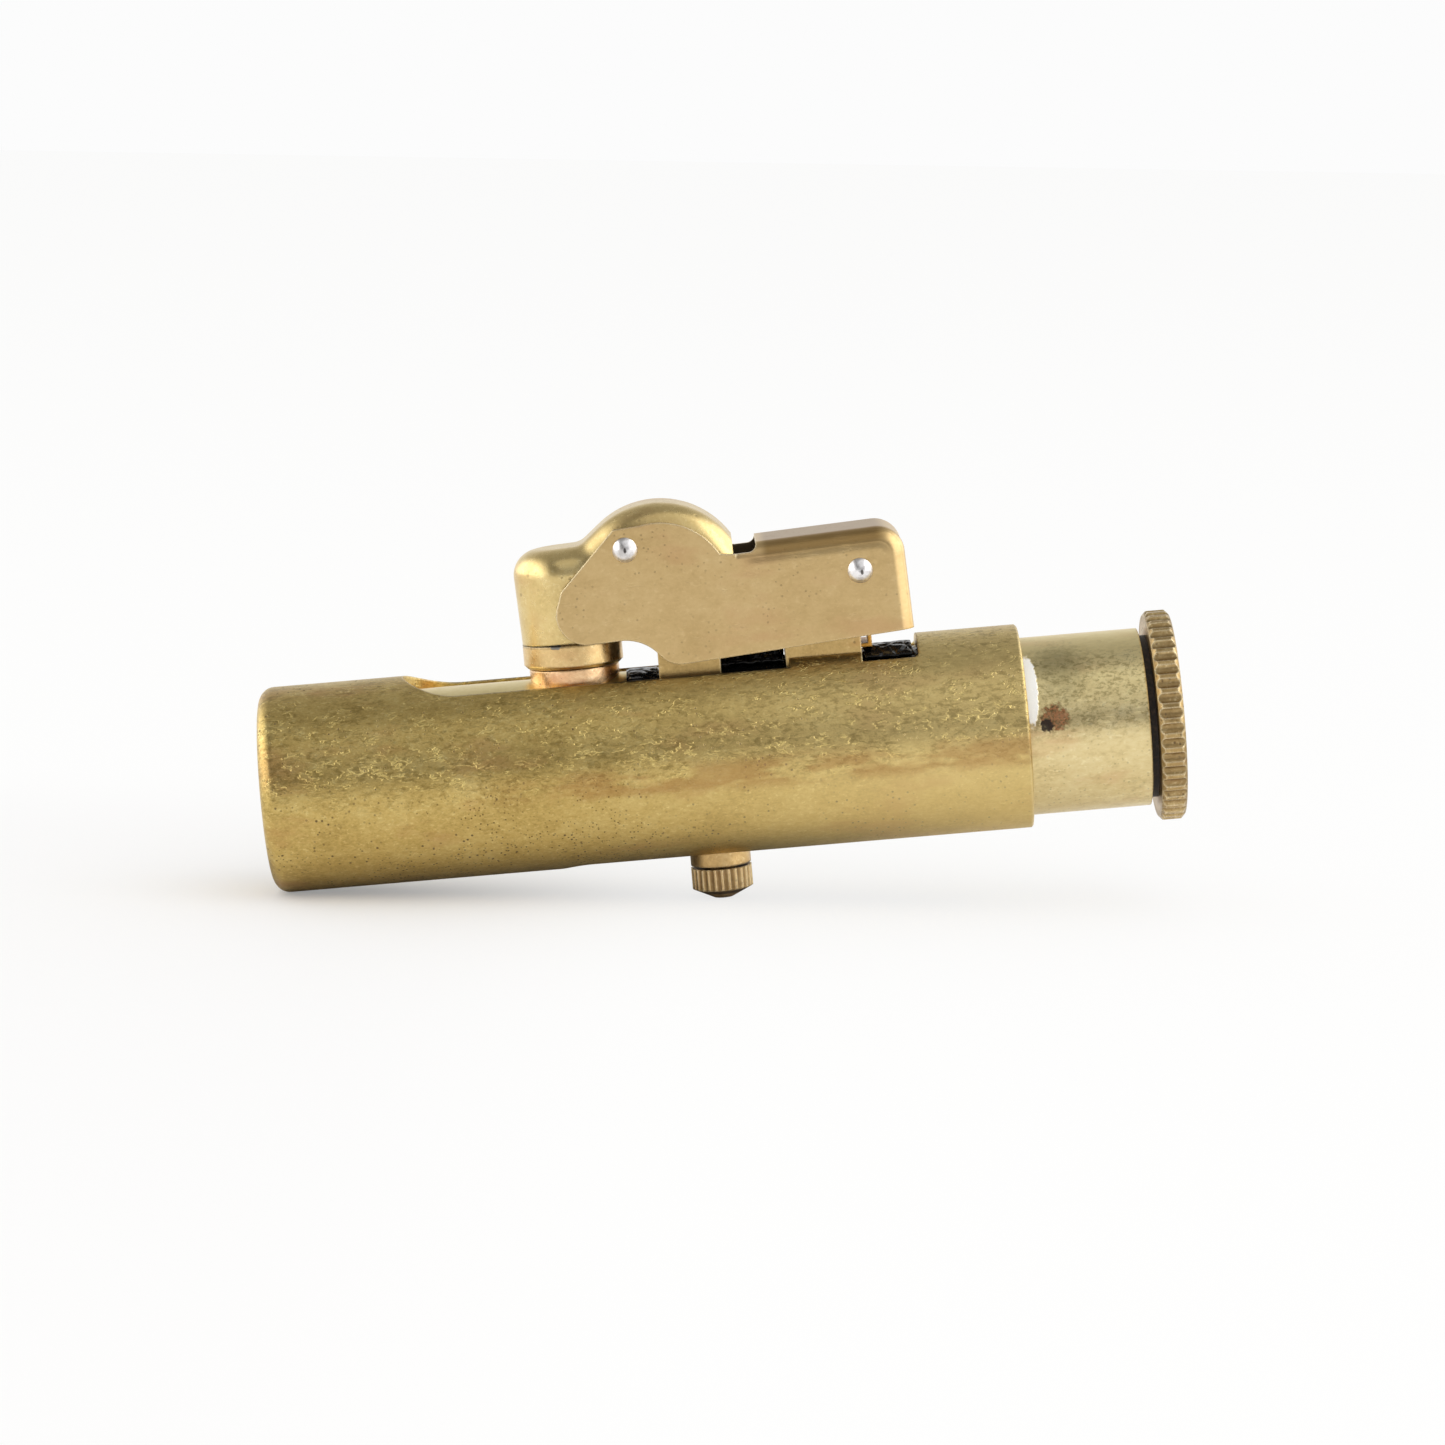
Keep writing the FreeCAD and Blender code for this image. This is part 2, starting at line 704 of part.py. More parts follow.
def makeWheel():
    body = makeBody("wheel")
    pad(body, circleSketch(body, "XZ", "wheel_rim", "0", "0", "wheel_radius"),
        "bracket_width - 2 * bracket_wall - 2 * wheel_side_gap")
    pocket(body, circleSketch(body, "XZ", "wheel_bore", "0", "0", "axle_diameter / 2 + running_gap"))
    tooth = circleSketch(body, "XZ", "wheel_tooth", "wheel_radius + tooth_radius - tooth_depth", "0",
                         "tooth_radius")
    repeatRound(body, pocket(body, tooth), "Y_Axis", "tooth_count")
    place(body, "flint_x", "0", "wheel_height")
    node(body, "spark_wheel")

    axle = cylinder("axle_rod", "y", "axle_diameter / 2", "bracket_width", "flint_x", "-bracket_half",
                    "wheel_height")
    node(axle, "wheel_axle")


def makeLeafSpring():
    """A bent leaf: its foot lies on the bracket's floor and its free end is under the heel."""
    body = makeBody("leaf")
    inner = "leaf_right - leaf_thickness"
    strip = outlineSketch(body, "XZ", "leaf_profile", [
        ("leaf_right - leaf_base_length", "bracket_floor"),
        ("leaf_right", "bracket_floor"),
        ("leaf_right", "leaf_top"),
        ("leaf_right - leaf_top_length", "leaf_top"),
        ("leaf_right - leaf_top_length", "leaf_top - leaf_thickness"),
        (inner, "leaf_top - leaf_thickness"),
        (inner, "bracket_floor + leaf_thickness"),
        ("leaf_right - leaf_base_length", "bracket_floor + leaf_thickness"),
    ])
    pad(body, strip, "leaf_width")
    node(body, "arm_spring")


# ---- arm ------------------------------------------------------------------------------------

def roundEdges(body, feature, radius, wanted):
    """Round the edges of a feature whose middle point passes a test."""
    doc.recompute()
    names = []
    for index, edge in enumerate(feature.Shape.Edges, start=1):
        middle = edge.valueAt((edge.FirstParameter + edge.LastParameter) / 2)
        if wanted(edge, middle):
            names.append(f"Edge{index}")
    rounding = body.newObject("PartDesign::Fillet", feature.Name + "_rounded")
    rounding.Base = (feature, names)
    bind(rounding, Radius=radius)
    body.Tip = rounding
    return rounding


def runsAcross(edge):
    """True for an edge that runs straight across the arm."""
    first, last = edge.Vertexes[0].Point, edge.Vertexes[-1].Point
    return abs(first.y - last.y) > NEAR and abs(first.x - last.x) < NEAR and abs(first.z - last.z) < NEAR


def makeLever():
    """The folded channel: a web on top, an end wall, and a cheek on each side that holds the hood."""
    body = makeBody("lever")
    channel = outlineSketch(body, "XZ", "lever_channel", [
        ("lever_end", "lever_bottom_right"),
        ("lever_end - lever_corner_radius", "lever_top - lever_corner_radius", "lever_corner_radius",
         "0", "90"),
        ("notch_u", "lever_top"),
        ("notch_u", "notch_under_w"),
    ])
    solid = pad(body, channel, "2 * lever_half")
    top = value("lever_top")
    end = value("lever_end")
    corner = value("lever_corner_radius")
    half = value("lever_half")

    def onFold(edge, point):
        beside = abs(abs(point.y) - half) < NEAR
        web = abs(point.z - top) < NEAR
        wall = abs(point.x - end) < NEAR
        bend = point.x > end - corner and point.z > top - corner
        return beside and (web or wall or bend)

    roundEdges(body, solid, "fold_radius", onFold)
    cheeks = outlineSketch(body, "XZ", "lever_cheeks", [
        ("notch_u", "notch_under_w"),
        ("notch_u", "notch_floor"),
        ("dome_u", "dome_w", "cheek_dome_radius", "cheek_dome_rear", "cheek_dome_front"),
        ("cup_u + shoulder_top_u", "shoulder_top_w"),
        ("cup_u + shoulder_low_u", "shoulder_low_w"),
        ("lobe_u", "lobe_bottom + lobe_radius", "lobe_radius", "270 - lobe_turn", "270"),
        ("step_u - (step_radius + step_far_radius) * sin(step_turn)", "lobe_bottom - step_far_radius",
         "step_far_radius", "90", "90 - step_turn"),
        ("step_u", "lever_bottom_left + step_radius", "step_radius", "270 - step_turn", "270"),
    ])
    pad(body, cheeks, "2 * lever_half")
    notch = outlineSketch(body, "XZ", "lever_notch", [
        ("notch_u", "notch_floor"),
        ("-web_length - notch_corner", "notch_floor + notch_corner", "notch_corner", "270", "360"),
        ("-web_length", "2 * lever_top"),
        ("notch_u", "2 * lever_top"),
    ])
    pocket(body, notch)
    hollow = outlineSketch(body, "XZ", "lever_hollow", [
        ("lever_end - lever_sheet", "lever_bottom_left - lever_sheet"),
        ("lever_end - lever_corner_radius", "lever_top - lever_corner_radius",
         "lever_corner_radius - lever_sheet", "0", "90"),
        ("-web_length", "web_inside"),
        ("-web_length", "dome_w + hood_dome_radius + hood_sheet"),
        ("hood_front", "dome_w + hood_dome_radius + hood_sheet"),
        ("hood_front", "lever_bottom_left - lever_sheet"),
    ])
    cavity = body.newObject("PartDesign::Pocket", "lever_cavity")
    cavity.Profile = hollow
    cavity.SideType = "Symmetric"
    bind(cavity, Length="2 * lever_inside")
    opening = outlineSketch(body, "YZ", "lever_end_window",
                            rectangle("-end_window_width / 2", "end_window_width / 2",
                                      "lever_bottom_left - lever_sheet", "end_window_top"))
    pocket(body, opening, "One side", reverse=True)
    pocket(body, circleSketch(body, "XZ", "lever_pivot_hole", "0", "0",
                              "pivot_pin_diameter / 2 + solder_gap"))
    pocket(body, circleSketch(body, "XZ", "lever_rivet_hole", "rivet_u", "hood_rivet_w",
                              "hood_rivet_diameter / 2 + solder_gap"))
    placeOnArm(body)
    node(body, "arm_lever")


def hoodForm(name, inset, bottom):
    """The hood's rounded form, or the same form moved inward by an inset."""
    body = makeBody(name)
    front = f"hood_front + ({inset})"
    foot = f"slope_foot_u + ({inset}) * tan(hood_slope / 2)"
    noseTop = f"hood_nose_top - ({inset})"
    radius = f"hood_dome_radius - ({inset})"
    half = f"hood_half - ({inset})"
    domeEnd = onArc("dome_u", "dome_w", radius, "hood_dome_end")
    tail = f"{domeEnd[0]} + ({domeEnd[1]} - ({bottom})) * tan(hood_dome_end)"
    sides = outlineSketch(body, "XZ", name + "_sides", [
        (front, bottom),
        (front, noseTop),
        (foot, noseTop),
        ("dome_u", "dome_w", radius, "90 + hood_slope", "hood_dome_end"),
        (tail, bottom),
    ])
    solid = pad(body, sides, f"2 * ({half})")
    atFront = value(front)
    atFoot = value(foot)
    atTop = value(noseTop)
    atBottom = value(bottom)
    atSide = value(half)

    def onNose(edge, point):
        return abs(point.x - atFront) < NEAR and abs(abs(point.y) - atSide) < NEAR

    def onValley(edge, point):
        return abs(point.x - atFoot) < NEAR and abs(point.z - atTop) < NEAR and runsAcross(edge)

    def onRim(edge, point):
        rear = point.x > atFoot and point.z > atBottom + NEAR
        return (point.z > atTop - NEAR or rear) and not runsAcross(edge)

    nose = roundEdges(body, solid, f"hood_nose_radius - ({inset})", onNose)
    valley = roundEdges(body, nose, f"hood_valley_radius + ({inset})", onValley)
    roundEdges(body, valley, f"hood_edge_radius - ({inset})", onRim)
    placeOnArm(body)
    return body


def makeHood():
    """The drawn hood: a nose over the snuffer cup and a dome over the wheel, open below and behind."""
    outside = hoodForm("hood_outside", "0", "hood_bottom")
    inside = hoodForm("hood_inside", "hood_sheet", "hood_bottom - hood_sheet")
    behind = outlineSketch(outside, "XZ", "hood_open_back",
                           rectangle("hood_back", "hood_back + 2 * hood_dome_radius",
                                     "hood_bottom - hood_sheet", "dome_w + hood_dome_radius"))
    pocket(outside, behind)
    hole = cylinder("hood_rivet_hole", "y", "hood_rivet_diameter / 2 + solder_gap", "hood_width",
                    "rivet_x", "-hood_half", "rivet_z")
    node(cut("arm_hood", outside, inside, hole), "arm_hood")


def makeCup():
    """The snuffer cup: a ring that shows under the hood, and a closed neck inside it."""
    body = makeBody("cup")
    outer = "cup_diameter / 2"
    neck = "cup_neck_diameter / 2"
    profile = outlineSketch(body, "XZ", "cup_profile", [
        ("cup_bore / 2", "0"),
        (f"{outer} - cup_chamfer", "0"),
        (outer, "cup_chamfer"),
        (outer, "cup_ring_height"),
        (neck, "cup_ring_height"),
        (neck, "cup_height"),
        ("0", "cup_height"),
        ("0", "cup_height - cup_roof"),
        ("cup_bore / 2", "cup_height - cup_roof"),
    ])
    revolve(body, profile, "V_Axis")
    place(body, "burner_x", "0", "cup_bottom")
    node(body, "snuffer_cup")


def makeRivet(label, x, z, diameter):
    """A pin across the arm with a domed head on each cheek."""
    body = makeBody(label)
    radius = f"{diameter} / 2"
    rim = "asin(1 - rivet_head_height / rivet_sphere)"
    middle = "lever_half + rivet_head_height - rivet_sphere"
    profile = outlineSketch(body, "XY", label + "_profile", [
        (radius, "-lever_half"),
        (radius, "lever_half"),
        ("0", middle, "rivet_sphere", rim, "90"),
        ("0", f"-({middle})", "rivet_sphere", "-90", f"-{rim}"),
    ])
    revolve(body, profile, "V_Axis")
    place(body, x, "0", z)
    node(body, label)


def makePivotFittings():
    """Two spacers between bracket and cheeks, and the heel that the leaf spring bears on."""
    width = "lever_inside - face_gap - bracket_half - running_gap"
    spacers = []
    for side, start in (("near", "-(lever_inside - face_gap)"), ("far", "bracket_half + running_gap")):
        spacers.append(tube("washer_" + side, "y", "washer_diameter / 2",
                            "pivot_pin_diameter / 2 + running_gap", width, "pivot_x", start, "pivot_height"))
    pair = doc.addObject("Part::Compound", "washer_pair")
    pair.Links = spacers
    node(pair, "pivot_washers")

    body = makeBody("heel")
    seat = "web_inside - solder_gap"
    shape = outlineSketch(body, "XZ", "heel_profile", [
        ("0", "0", "heel_radius", "180", "360"),
        ("heel_seat_width / 2", seat),
        ("-heel_seat_width / 2", seat),
    ])
    pad(body, shape, "2 * (bracket_inside - heel_side_gap)")
    pocket(body, circleSketch(body, "XZ", "heel_pin_hole", "0", "0", "pivot_pin_diameter / 2 + solder_gap"))
    placeOnArm(body)
    node(body, "arm_heel")


# ---- the whole lighter ------------------------------------------------------------------------

def checkAndSave():
    doc.recompute()
    for item in doc.Objects:
        if "Invalid" in item.State or "Error" in item.State:
            raise RuntimeError(f"{item.Label} failed: {item.State}")
    for item in nodes:
        if item.Shape.isNull() or not item.Shape.isValid() or not item.Shape.Solids:
            raise RuntimeError(f"{item.Label} has no sound solid")
    os.makedirs("parts", exist_ok=True)
    for item in nodes:
        item.Shape.exportStep(f"parts/{item.Label}.step")
        print(f"{item.Label}: {len(item.Shape.Solids)} solid, {item.Shape.Volume:.2f} mm3")


sheet = makeSheet()
makeCase()
makeTank()
makeLiner()
makeWadding()
makeBurner()
makeFiller()
makeFlintTube()
makeFlintBush()
makeFlintScrew()
makeFlint()
makeFlintSpring()
makeBracket()
makeWheel()
makeLeafSpring()
makeLever()
makeHood()
makeCup()
makeRivet("hood_rivet", "rivet_x", "rivet_z", "hood_rivet_diameter")
makeRivet("pivot_pin", "pivot_x", "pivot_height", "pivot_pin_diameter")
makePivotFittings()
checkAndSave()
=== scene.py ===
import bpy
import math
from mathutils import Matrix, Vector


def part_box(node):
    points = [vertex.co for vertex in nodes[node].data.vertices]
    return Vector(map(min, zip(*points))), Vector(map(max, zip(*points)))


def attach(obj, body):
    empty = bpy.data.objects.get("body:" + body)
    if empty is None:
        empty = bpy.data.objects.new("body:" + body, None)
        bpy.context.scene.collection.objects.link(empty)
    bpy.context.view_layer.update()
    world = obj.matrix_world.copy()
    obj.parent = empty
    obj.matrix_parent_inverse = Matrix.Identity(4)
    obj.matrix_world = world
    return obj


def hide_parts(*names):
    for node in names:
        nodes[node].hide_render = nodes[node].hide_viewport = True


# An old brass pocket lighter: a tank that slides in a slotted case, with a hinged snuffer arm.
# Lengths are in metres; the looks below give small ones in millimetres and multiply by mm.

mm = 0.001
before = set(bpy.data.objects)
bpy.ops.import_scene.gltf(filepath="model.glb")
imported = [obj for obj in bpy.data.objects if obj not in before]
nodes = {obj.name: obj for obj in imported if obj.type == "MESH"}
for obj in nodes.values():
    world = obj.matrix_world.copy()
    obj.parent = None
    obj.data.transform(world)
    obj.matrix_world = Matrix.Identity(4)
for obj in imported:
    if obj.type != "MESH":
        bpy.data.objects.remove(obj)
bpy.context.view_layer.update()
print("frame loaded:", len(nodes), "nodes")


# shader maths

class Wire:
    # a socket that can be added, multiplied and so on
    def __init__(self, paint, socket):
        self.paint = paint
        self.socket = socket

    def maths(self, operation, *values):
        return self.paint.add("ShaderNodeMath", {"operation": operation}, values)

    def __add__(self, other):
        return self.maths("ADD", self, other)

    def __radd__(self, other):
        return self.maths("ADD", other, self)

    def __sub__(self, other):
        return self.maths("SUBTRACT", self, other)

    def __rsub__(self, other):
        return self.maths("SUBTRACT", other, self)

    def __mul__(self, other):
        return self.maths("MULTIPLY", self, other)

    def __rmul__(self, other):
        return self.maths("MULTIPLY", other, self)

    def __truediv__(self, other):
        return self.maths("DIVIDE", self, other)

    def __pow__(self, other):
        return self.maths("POWER", self, other)

    def __neg__(self):
        return self.maths("MULTIPLY", self, -1.0)

    def __abs__(self):
        return self.maths("ABSOLUTE", self)

    def most(self, other):
        return self.maths("MAXIMUM", self, other)

    def least(self, other):
        return self.maths("MINIMUM", self, other)

    def clamp(self):
        return self.most(0.0).least(1.0)

    def rise(self, low, high):
        # 0 below low, 1 above high, smooth between; falls where low is above high
        return self.paint.add("ShaderNodeMapRange", {"interpolation_type": "SMOOTHSTEP"},
                              {"Value": self, "From Min": low, "From Max": high})


class Paint:
    # a node tree that is being wired up
    def __init__(self, tree):
        self.tree = tree
        tree.nodes.clear()

    def add(self, kind, settings=None, values=(), out=0):
        node = self.tree.nodes.new(kind)
        for name, setting in (settings or {}).items():
            if name == "stops":
                self.setStops(node.color_ramp, setting)
            else:
                setattr(node, name, setting)
        pairs = values.items() if isinstance(values, dict) else enumerate(values)
        for key, value in pairs:
            if isinstance(value, Wire):
                self.tree.links.new(value.socket, node.inputs[key])
            else:
                node.inputs[key].default_value = value
        return Wire(self, node.outputs[out])

    def setStops(self, ramp, stops):
        while len(ramp.elements) < len(stops):
            ramp.elements.new(1.0)
        for element, (spot, colour) in zip(ramp.elements, stops):
            element.position = spot
            element.color = (*colour, 1.0)

    def mix(self, factor, first, second, blend="MIX"):
        ends = [end if isinstance(end, Wire) else (*end, 1.0) for end in (first, second)]
        return self.add("ShaderNodeMix", {"data_type": "RGBA", "blend_type": blend},
                        {0: factor, 6: ends[0], 7: ends[1]}, out=2)

    def place(self, stretch=(1.0, 1.0, 1.0), turn=(0.0, 0.0, 0.0), shift=(0.0, 0.0, 0.0)):
        # the piece's own coordinates in millimetres
        local = self.add("ShaderNodeTexCoord", out="Object")
        return self.add("ShaderNodeMapping", {}, {
            "Vector": local, "Location": shift, "Rotation": [math.radians(angle) for angle in turn],
            "Scale": [side / mm for side in stretch]})

    def parts(self, vector):
        return [self.add("ShaderNodeSeparateXYZ", {}, {"Vector": vector}, out=axis) for axis in range(3)]

    def noise(self, where, scale, detail=3.0, rough=0.55, distort=0.0):
        return self.add("ShaderNodeTexNoise", {}, {"Vector": where, "Scale": scale, "Detail": detail,
                                                   "Roughness": rough, "Distortion": distort})

    def cells(self, where, scale, feature="F1", out=0):
        return self.add("ShaderNodeTexVoronoi", {"feature": feature},
                        {"Vector": where, "Scale": scale}, out=out)

    def sparse(self, where, scale, near, far):
        # small round dots, at only some of the cells
        some = self.add("ShaderNodeSeparateColor", {}, {0: self.cells(where, scale, out=1)})
        return self.cells(where, scale).rise(near, far) * some.rise(0.35, 0.5)

    def curls(self, where, scale):
        # thin curly strokes, broken up along their length
        line = abs(self.noise(where, scale, 1.0, 0.5, 0.6) - 0.5).rise(0.06, 0.015)
        return line * self.noise(where, 1.3, 3.0, 0.7).rise(0.5, 0.62)

    def rays(self):
        # what the camera sees directly, in a mirror and through glass
        return [self.add("ShaderNodeLightPath", out=out)
                for out in ("Is Camera Ray", "Is Glossy Ray", "Is Transmission Ray")]

    def finish(self, shader):
        output = self.tree.nodes.new("ShaderNodeOutputMaterial")
        self.tree.links.new(shader.socket, output.inputs[0])


def linear(red, green, blue):
    # a colour written as it looks on screen, 0 to 255
    return tuple(((tone / 255 + 0.055) / 1.055) ** 2.4 if tone > 10 else tone / 255 / 12.92
                 for tone in (red, green, blue))


def newPaint(name):
    material = bpy.data.materials.new(name)
    material.use_nodes = True
    return material, Paint(material.node_tree)


# brass

brassLook = {
    "caseBrass": {
        "dark": (134, 106, 48), "mid": (206, 178, 108), "light": (238, 218, 150), "warm": (190, 146, 92),
        "cloud": 0.42, "mottle": 0.5, "mottleScale": 2.6, "stretch": (0.62, 1.0, 1.0),
        "specks": 0.8, "speckScale": 2.3, "scratches": 0.45, "rough": 0.34, "bump": 0.5, "edge": 0.8,
    },
    "tankBrass": {
        "dark": (170, 146, 94), "mid": (231, 211, 157), "light": (250, 236, 190), "warm": (218, 178, 130),
        "cloud": 0.40, "mottle": 0.5, "mottleScale": 1.5, "stretch": (0.6, 1.0, 1.0),
        "specks": 0.22, "speckScale": 2.6, "scratches": 0.7, "rough": 0.31, "bump": 0.38, "edge": 0.8,
    },
    # the arm's edges are lightened most, as a painted highlight along the plate's edges
    "armBrass": {
        "dark": (176, 144, 90), "mid": (214, 184, 130), "light": (236, 210, 158), "warm": (208, 168, 120),
        "cloud": 0.40, "mottle": 0.26, "mottleScale": 1.8, "stretch": (0.7, 1.0, 1.0),
        "specks": 0.3, "speckScale": 2.4, "scratches": 0.6, "rough": 0.32, "bump": 0.15, "edge": 3.5,
    },
    "hoodBrass": {
        "dark": (170, 142, 82), "mid": (226, 200, 138), "light": (250, 234, 180), "warm": (214, 178, 122),
        "cloud": 0.40, "mottle": 0.32, "mottleScale": 1.8, "stretch": (1.0, 1.0, 1.0),
        "specks": 0.35, "speckScale": 1.5, "scratches": 0.6, "rough": 0.28, "bump": 0.17, "edge": 0.8,
    },
    "cupBrass": {
        "dark": (178, 146, 90), "mid": (232, 200, 142), "light": (252, 232, 180), "warm": (216, 172, 118),
        "cloud": 0.45, "mottle": 0.35, "mottleScale": 1.6, "stretch": (1.0, 1.0, 1.0),
        "specks": 0.35, "speckScale": 1.7, "scratches": 0.6, "rough": 0.28, "bump": 0.22, "edge": 0.8,
    },
    "bracketBrass": {
        "dark": (150, 120, 68), "mid": (204, 172, 112), "light": (232, 204, 148), "warm": (198, 146, 88),
        "cloud": 0.40, "mottle": 0.42, "mottleScale": 2.2, "stretch": (1.0, 1.0, 1.0),
        "specks": 0.4, "speckScale": 2.0, "scratches": 0.5, "rough": 0.32, "bump": 0.25, "edge": 0.8,
    },
    "knurledBrass": {
        "dark": (112, 88, 52), "mid": (184, 154, 102), "light": (244, 224, 172), "warm": (172, 130, 90),
        "cloud": 0.35, "mottle": 0.5, "mottleScale": 2.2, "stretch": (1.0, 1.0, 1.0),
        "specks": 0.6, "speckScale": 2.2, "scratches": 0.4, "rough": 0.31, "bump": 0.35, "edge": 1.6,
    },
    "flintBrass": {
        "dark": (136, 106, 66), "mid": (210, 176, 120), "light": (246, 222, 170), "warm": (200, 154, 106),
        "cloud": 0.35, "mottle": 0.45, "mottleScale": 2.0, "stretch": (1.0, 1.0, 1.0),
        "specks": 0.5, "speckScale": 2.2, "scratches": 0.4, "rough": 0.30, "bump": 0.3, "edge": 1.2,
    },
    "copper": {
        "dark": (190, 134, 92), "mid": (248, 208, 160), "light": (255, 238, 208), "warm": (232, 166, 122),
        "cloud": 0.55, "mottle": 0.45, "mottleScale": 1.5, "stretch": (1.0, 1.0, 1.0),
        "specks": 0.5, "speckScale": 1.9, "scratches": 0.5, "rough": 0.26, "bump": 0.25, "edge": 1.0,
    },
    "springBronze": {
        "dark": (140, 92, 40), "mid": (206, 150, 66), "light": (236, 186, 100), "warm": (196, 128, 60),
        "cloud": 0.3, "mottle": 0.3, "mottleScale": 2.0, "stretch": (1.0, 1.0, 1.0),
        "specks": 0.2, "speckScale": 2.0, "scratches": 0.4, "rough": 0.3, "bump": 0.15, "edge": 0.6,
    },
}


brassDetail = {
    "cloudScale": 0.16, "patchScale": 0.55, "warmScale": 0.3, "crowdScale": 0.28,
    "grain": 2.6, "flecks": 1.7,      # times the mottle's own scale
    "pitTone": (70, 52, 30), "edgeWearAndHighlightTone": (255, 240, 200), "bevel": 0.2, "bump": 0.06,
    "scratchTurns": ((20, 10, 32), (-15, 30, -55)), "scratchScale": 1.1,
}


def brassFinish(name, spots=()):
    # aged brass: slow clouds of tone, fine mottling with bright flecks, dark pits, hair scratches, and edges
    # lightened as wear and as a painted highlight
    look = brassLook[name]
    material, paint = newPaint(name)
    here = paint.place(look["stretch"])
    true = paint.place()
    clouds = paint.noise(true, brassDetail["cloudScale"], 3.0, 0.6) - 0.5
    patches = paint.noise(here, brassDetail["patchScale"], 3.0, 0.6, 0.6) - 0.5
    mottle = paint.noise(here, look["mottleScale"], 5.0, 0.72, 0.3) - 0.5
    aside = paint.place(look["stretch"], shift=(7.0, 3.0, 5.0))
    grain = paint.noise(aside, look["mottleScale"] * brassDetail["grain"], 2.0, 0.5) - 0.5
    tone = 0.5 + (clouds * 1.1 + patches * 0.9) * look["cloud"] + (mottle * 1.3 + grain * 0.7) * look["mottle"]
    aside = paint.place(look["stretch"], shift=(2.0, 8.0, 1.0))
    flecks = paint.noise(aside, look["mottleScale"] * brassDetail["flecks"], 2.0, 0.6)
    tone = (tone + flecks.rise(0.58, 0.72) * (0.5 * look["mottle"])).clamp()
    base = paint.mix((tone * 2.0).least(1.0), linear(*look["dark"]), linear(*look["mid"]))
    base = paint.mix((tone * 2.0 - 1.0).most(0.0), base, linear(*look["light"]))
    aside = paint.place((0.35, 1.0, 1.0), shift=(11.0, 4.0, 9.0))
    warmth = paint.noise(aside, brassDetail["warmScale"], 3.0, 0.6)
    base = paint.mix(warmth.rise(0.52, 0.7) * 0.55, base, linear(*look["warm"]))

    # pits, thick in some places and nearly absent in others
    crowd = paint.noise(true, brassDetail["crowdScale"], 2.0, 0.5).rise(0.45, 0.62)
    pits = paint.sparse(true, look["speckScale"], 0.27, 0.15) * (0.10 + 0.90 * crowd) * look["specks"]
    base = paint.mix(pits, base, linear(*brassDetail["pitTone"]))

    # hair scratches in two directions, worn bright
    lines = None
    for turn in brassDetail["scratchTurns"]:
        along = paint.place((0.18, 3.2, 3.2), turn)
        thin = paint.noise(along, brassDetail["scratchScale"], 1.0, 0.4)
        line = abs(thin - 0.5).rise(0.012, 0.004) * paint.noise(true, 0.6, 1.0).rise(0.55, 0.68)
        lines = line if lines is None else lines.most(line)
    lines = lines * look["scratches"]
    base = paint.mix(lines * 0.4, base, linear(*look["light"]))

    # edges: the rounded normal departs from the true one; there the colour is lightened, partly as wear and
    # partly as a painted highlight where the edges catch light
    soft = paint.add("ShaderNodeBevel", {"samples": 4}, {"Radius": brassDetail["bevel"] * mm})
    flat = paint.add("ShaderNodeNewGeometry", out="Normal")
    bend = 1.0 - paint.add("ShaderNodeVectorMath", {"operation": "DOT_PRODUCT"}, [soft, flat], out="Value")
    edgeWearAndHighlight = (bend * (5.0 * look["edge"])).clamp() * (0.75 + mottle)
    base = paint.mix(edgeWearAndHighlight, base, linear(*brassDetail["edgeWearAndHighlightTone"]))

    metal = 1.0 - pits * 0.6
    rough = look["rough"] - 0.22 * mottle * look["mottle"] + 0.25 * pits - 0.06 * edgeWearAndHighlight
    height = (mottle + grain * 0.5) * look["bump"] - pits * 1.2 - lines * 0.25
    for spot in spots:
        base, metal, rough, height = spot(paint, base, metal, rough, height)
    normal = paint.add("ShaderNodeBump", {}, {"Strength": 0.5, "Distance": brassDetail["bump"] * mm,
                                              "Height": height, "Normal": soft})
    paint.finish(paint.add("ShaderNodeBsdfPrincipled", {}, {
        "Base Color": base, "Metallic": metal, "Roughness": rough.clamp(), "Normal": normal}))
    return material


# the case's patina: curly bright strokes on olive above, crowds of fine dots below; also painted light, lighter
# towards the right end

caseMarks = {
    "bright": (20.0, 56.0), "patina": (-3.0, 0.5), "strokeScale": 2.8,      # spans in mm, along x or up z
    "stainLow": (-2.4, -1.2), "stainHigh": (1.0, -0.2), "stainFrom": (14.0, 26.0),
    "dots": (1.5, -3.0), "dotsEnd": (42.0, 26.0), "dotScale": 3.6,
    "paintedLightTone": (240, 216, 152), "oliveTone": (104, 84, 34), "strokeTone": (246, 222, 142),
    "stainTone": (164, 116, 66), "dotTone": (64, 46, 26),
}


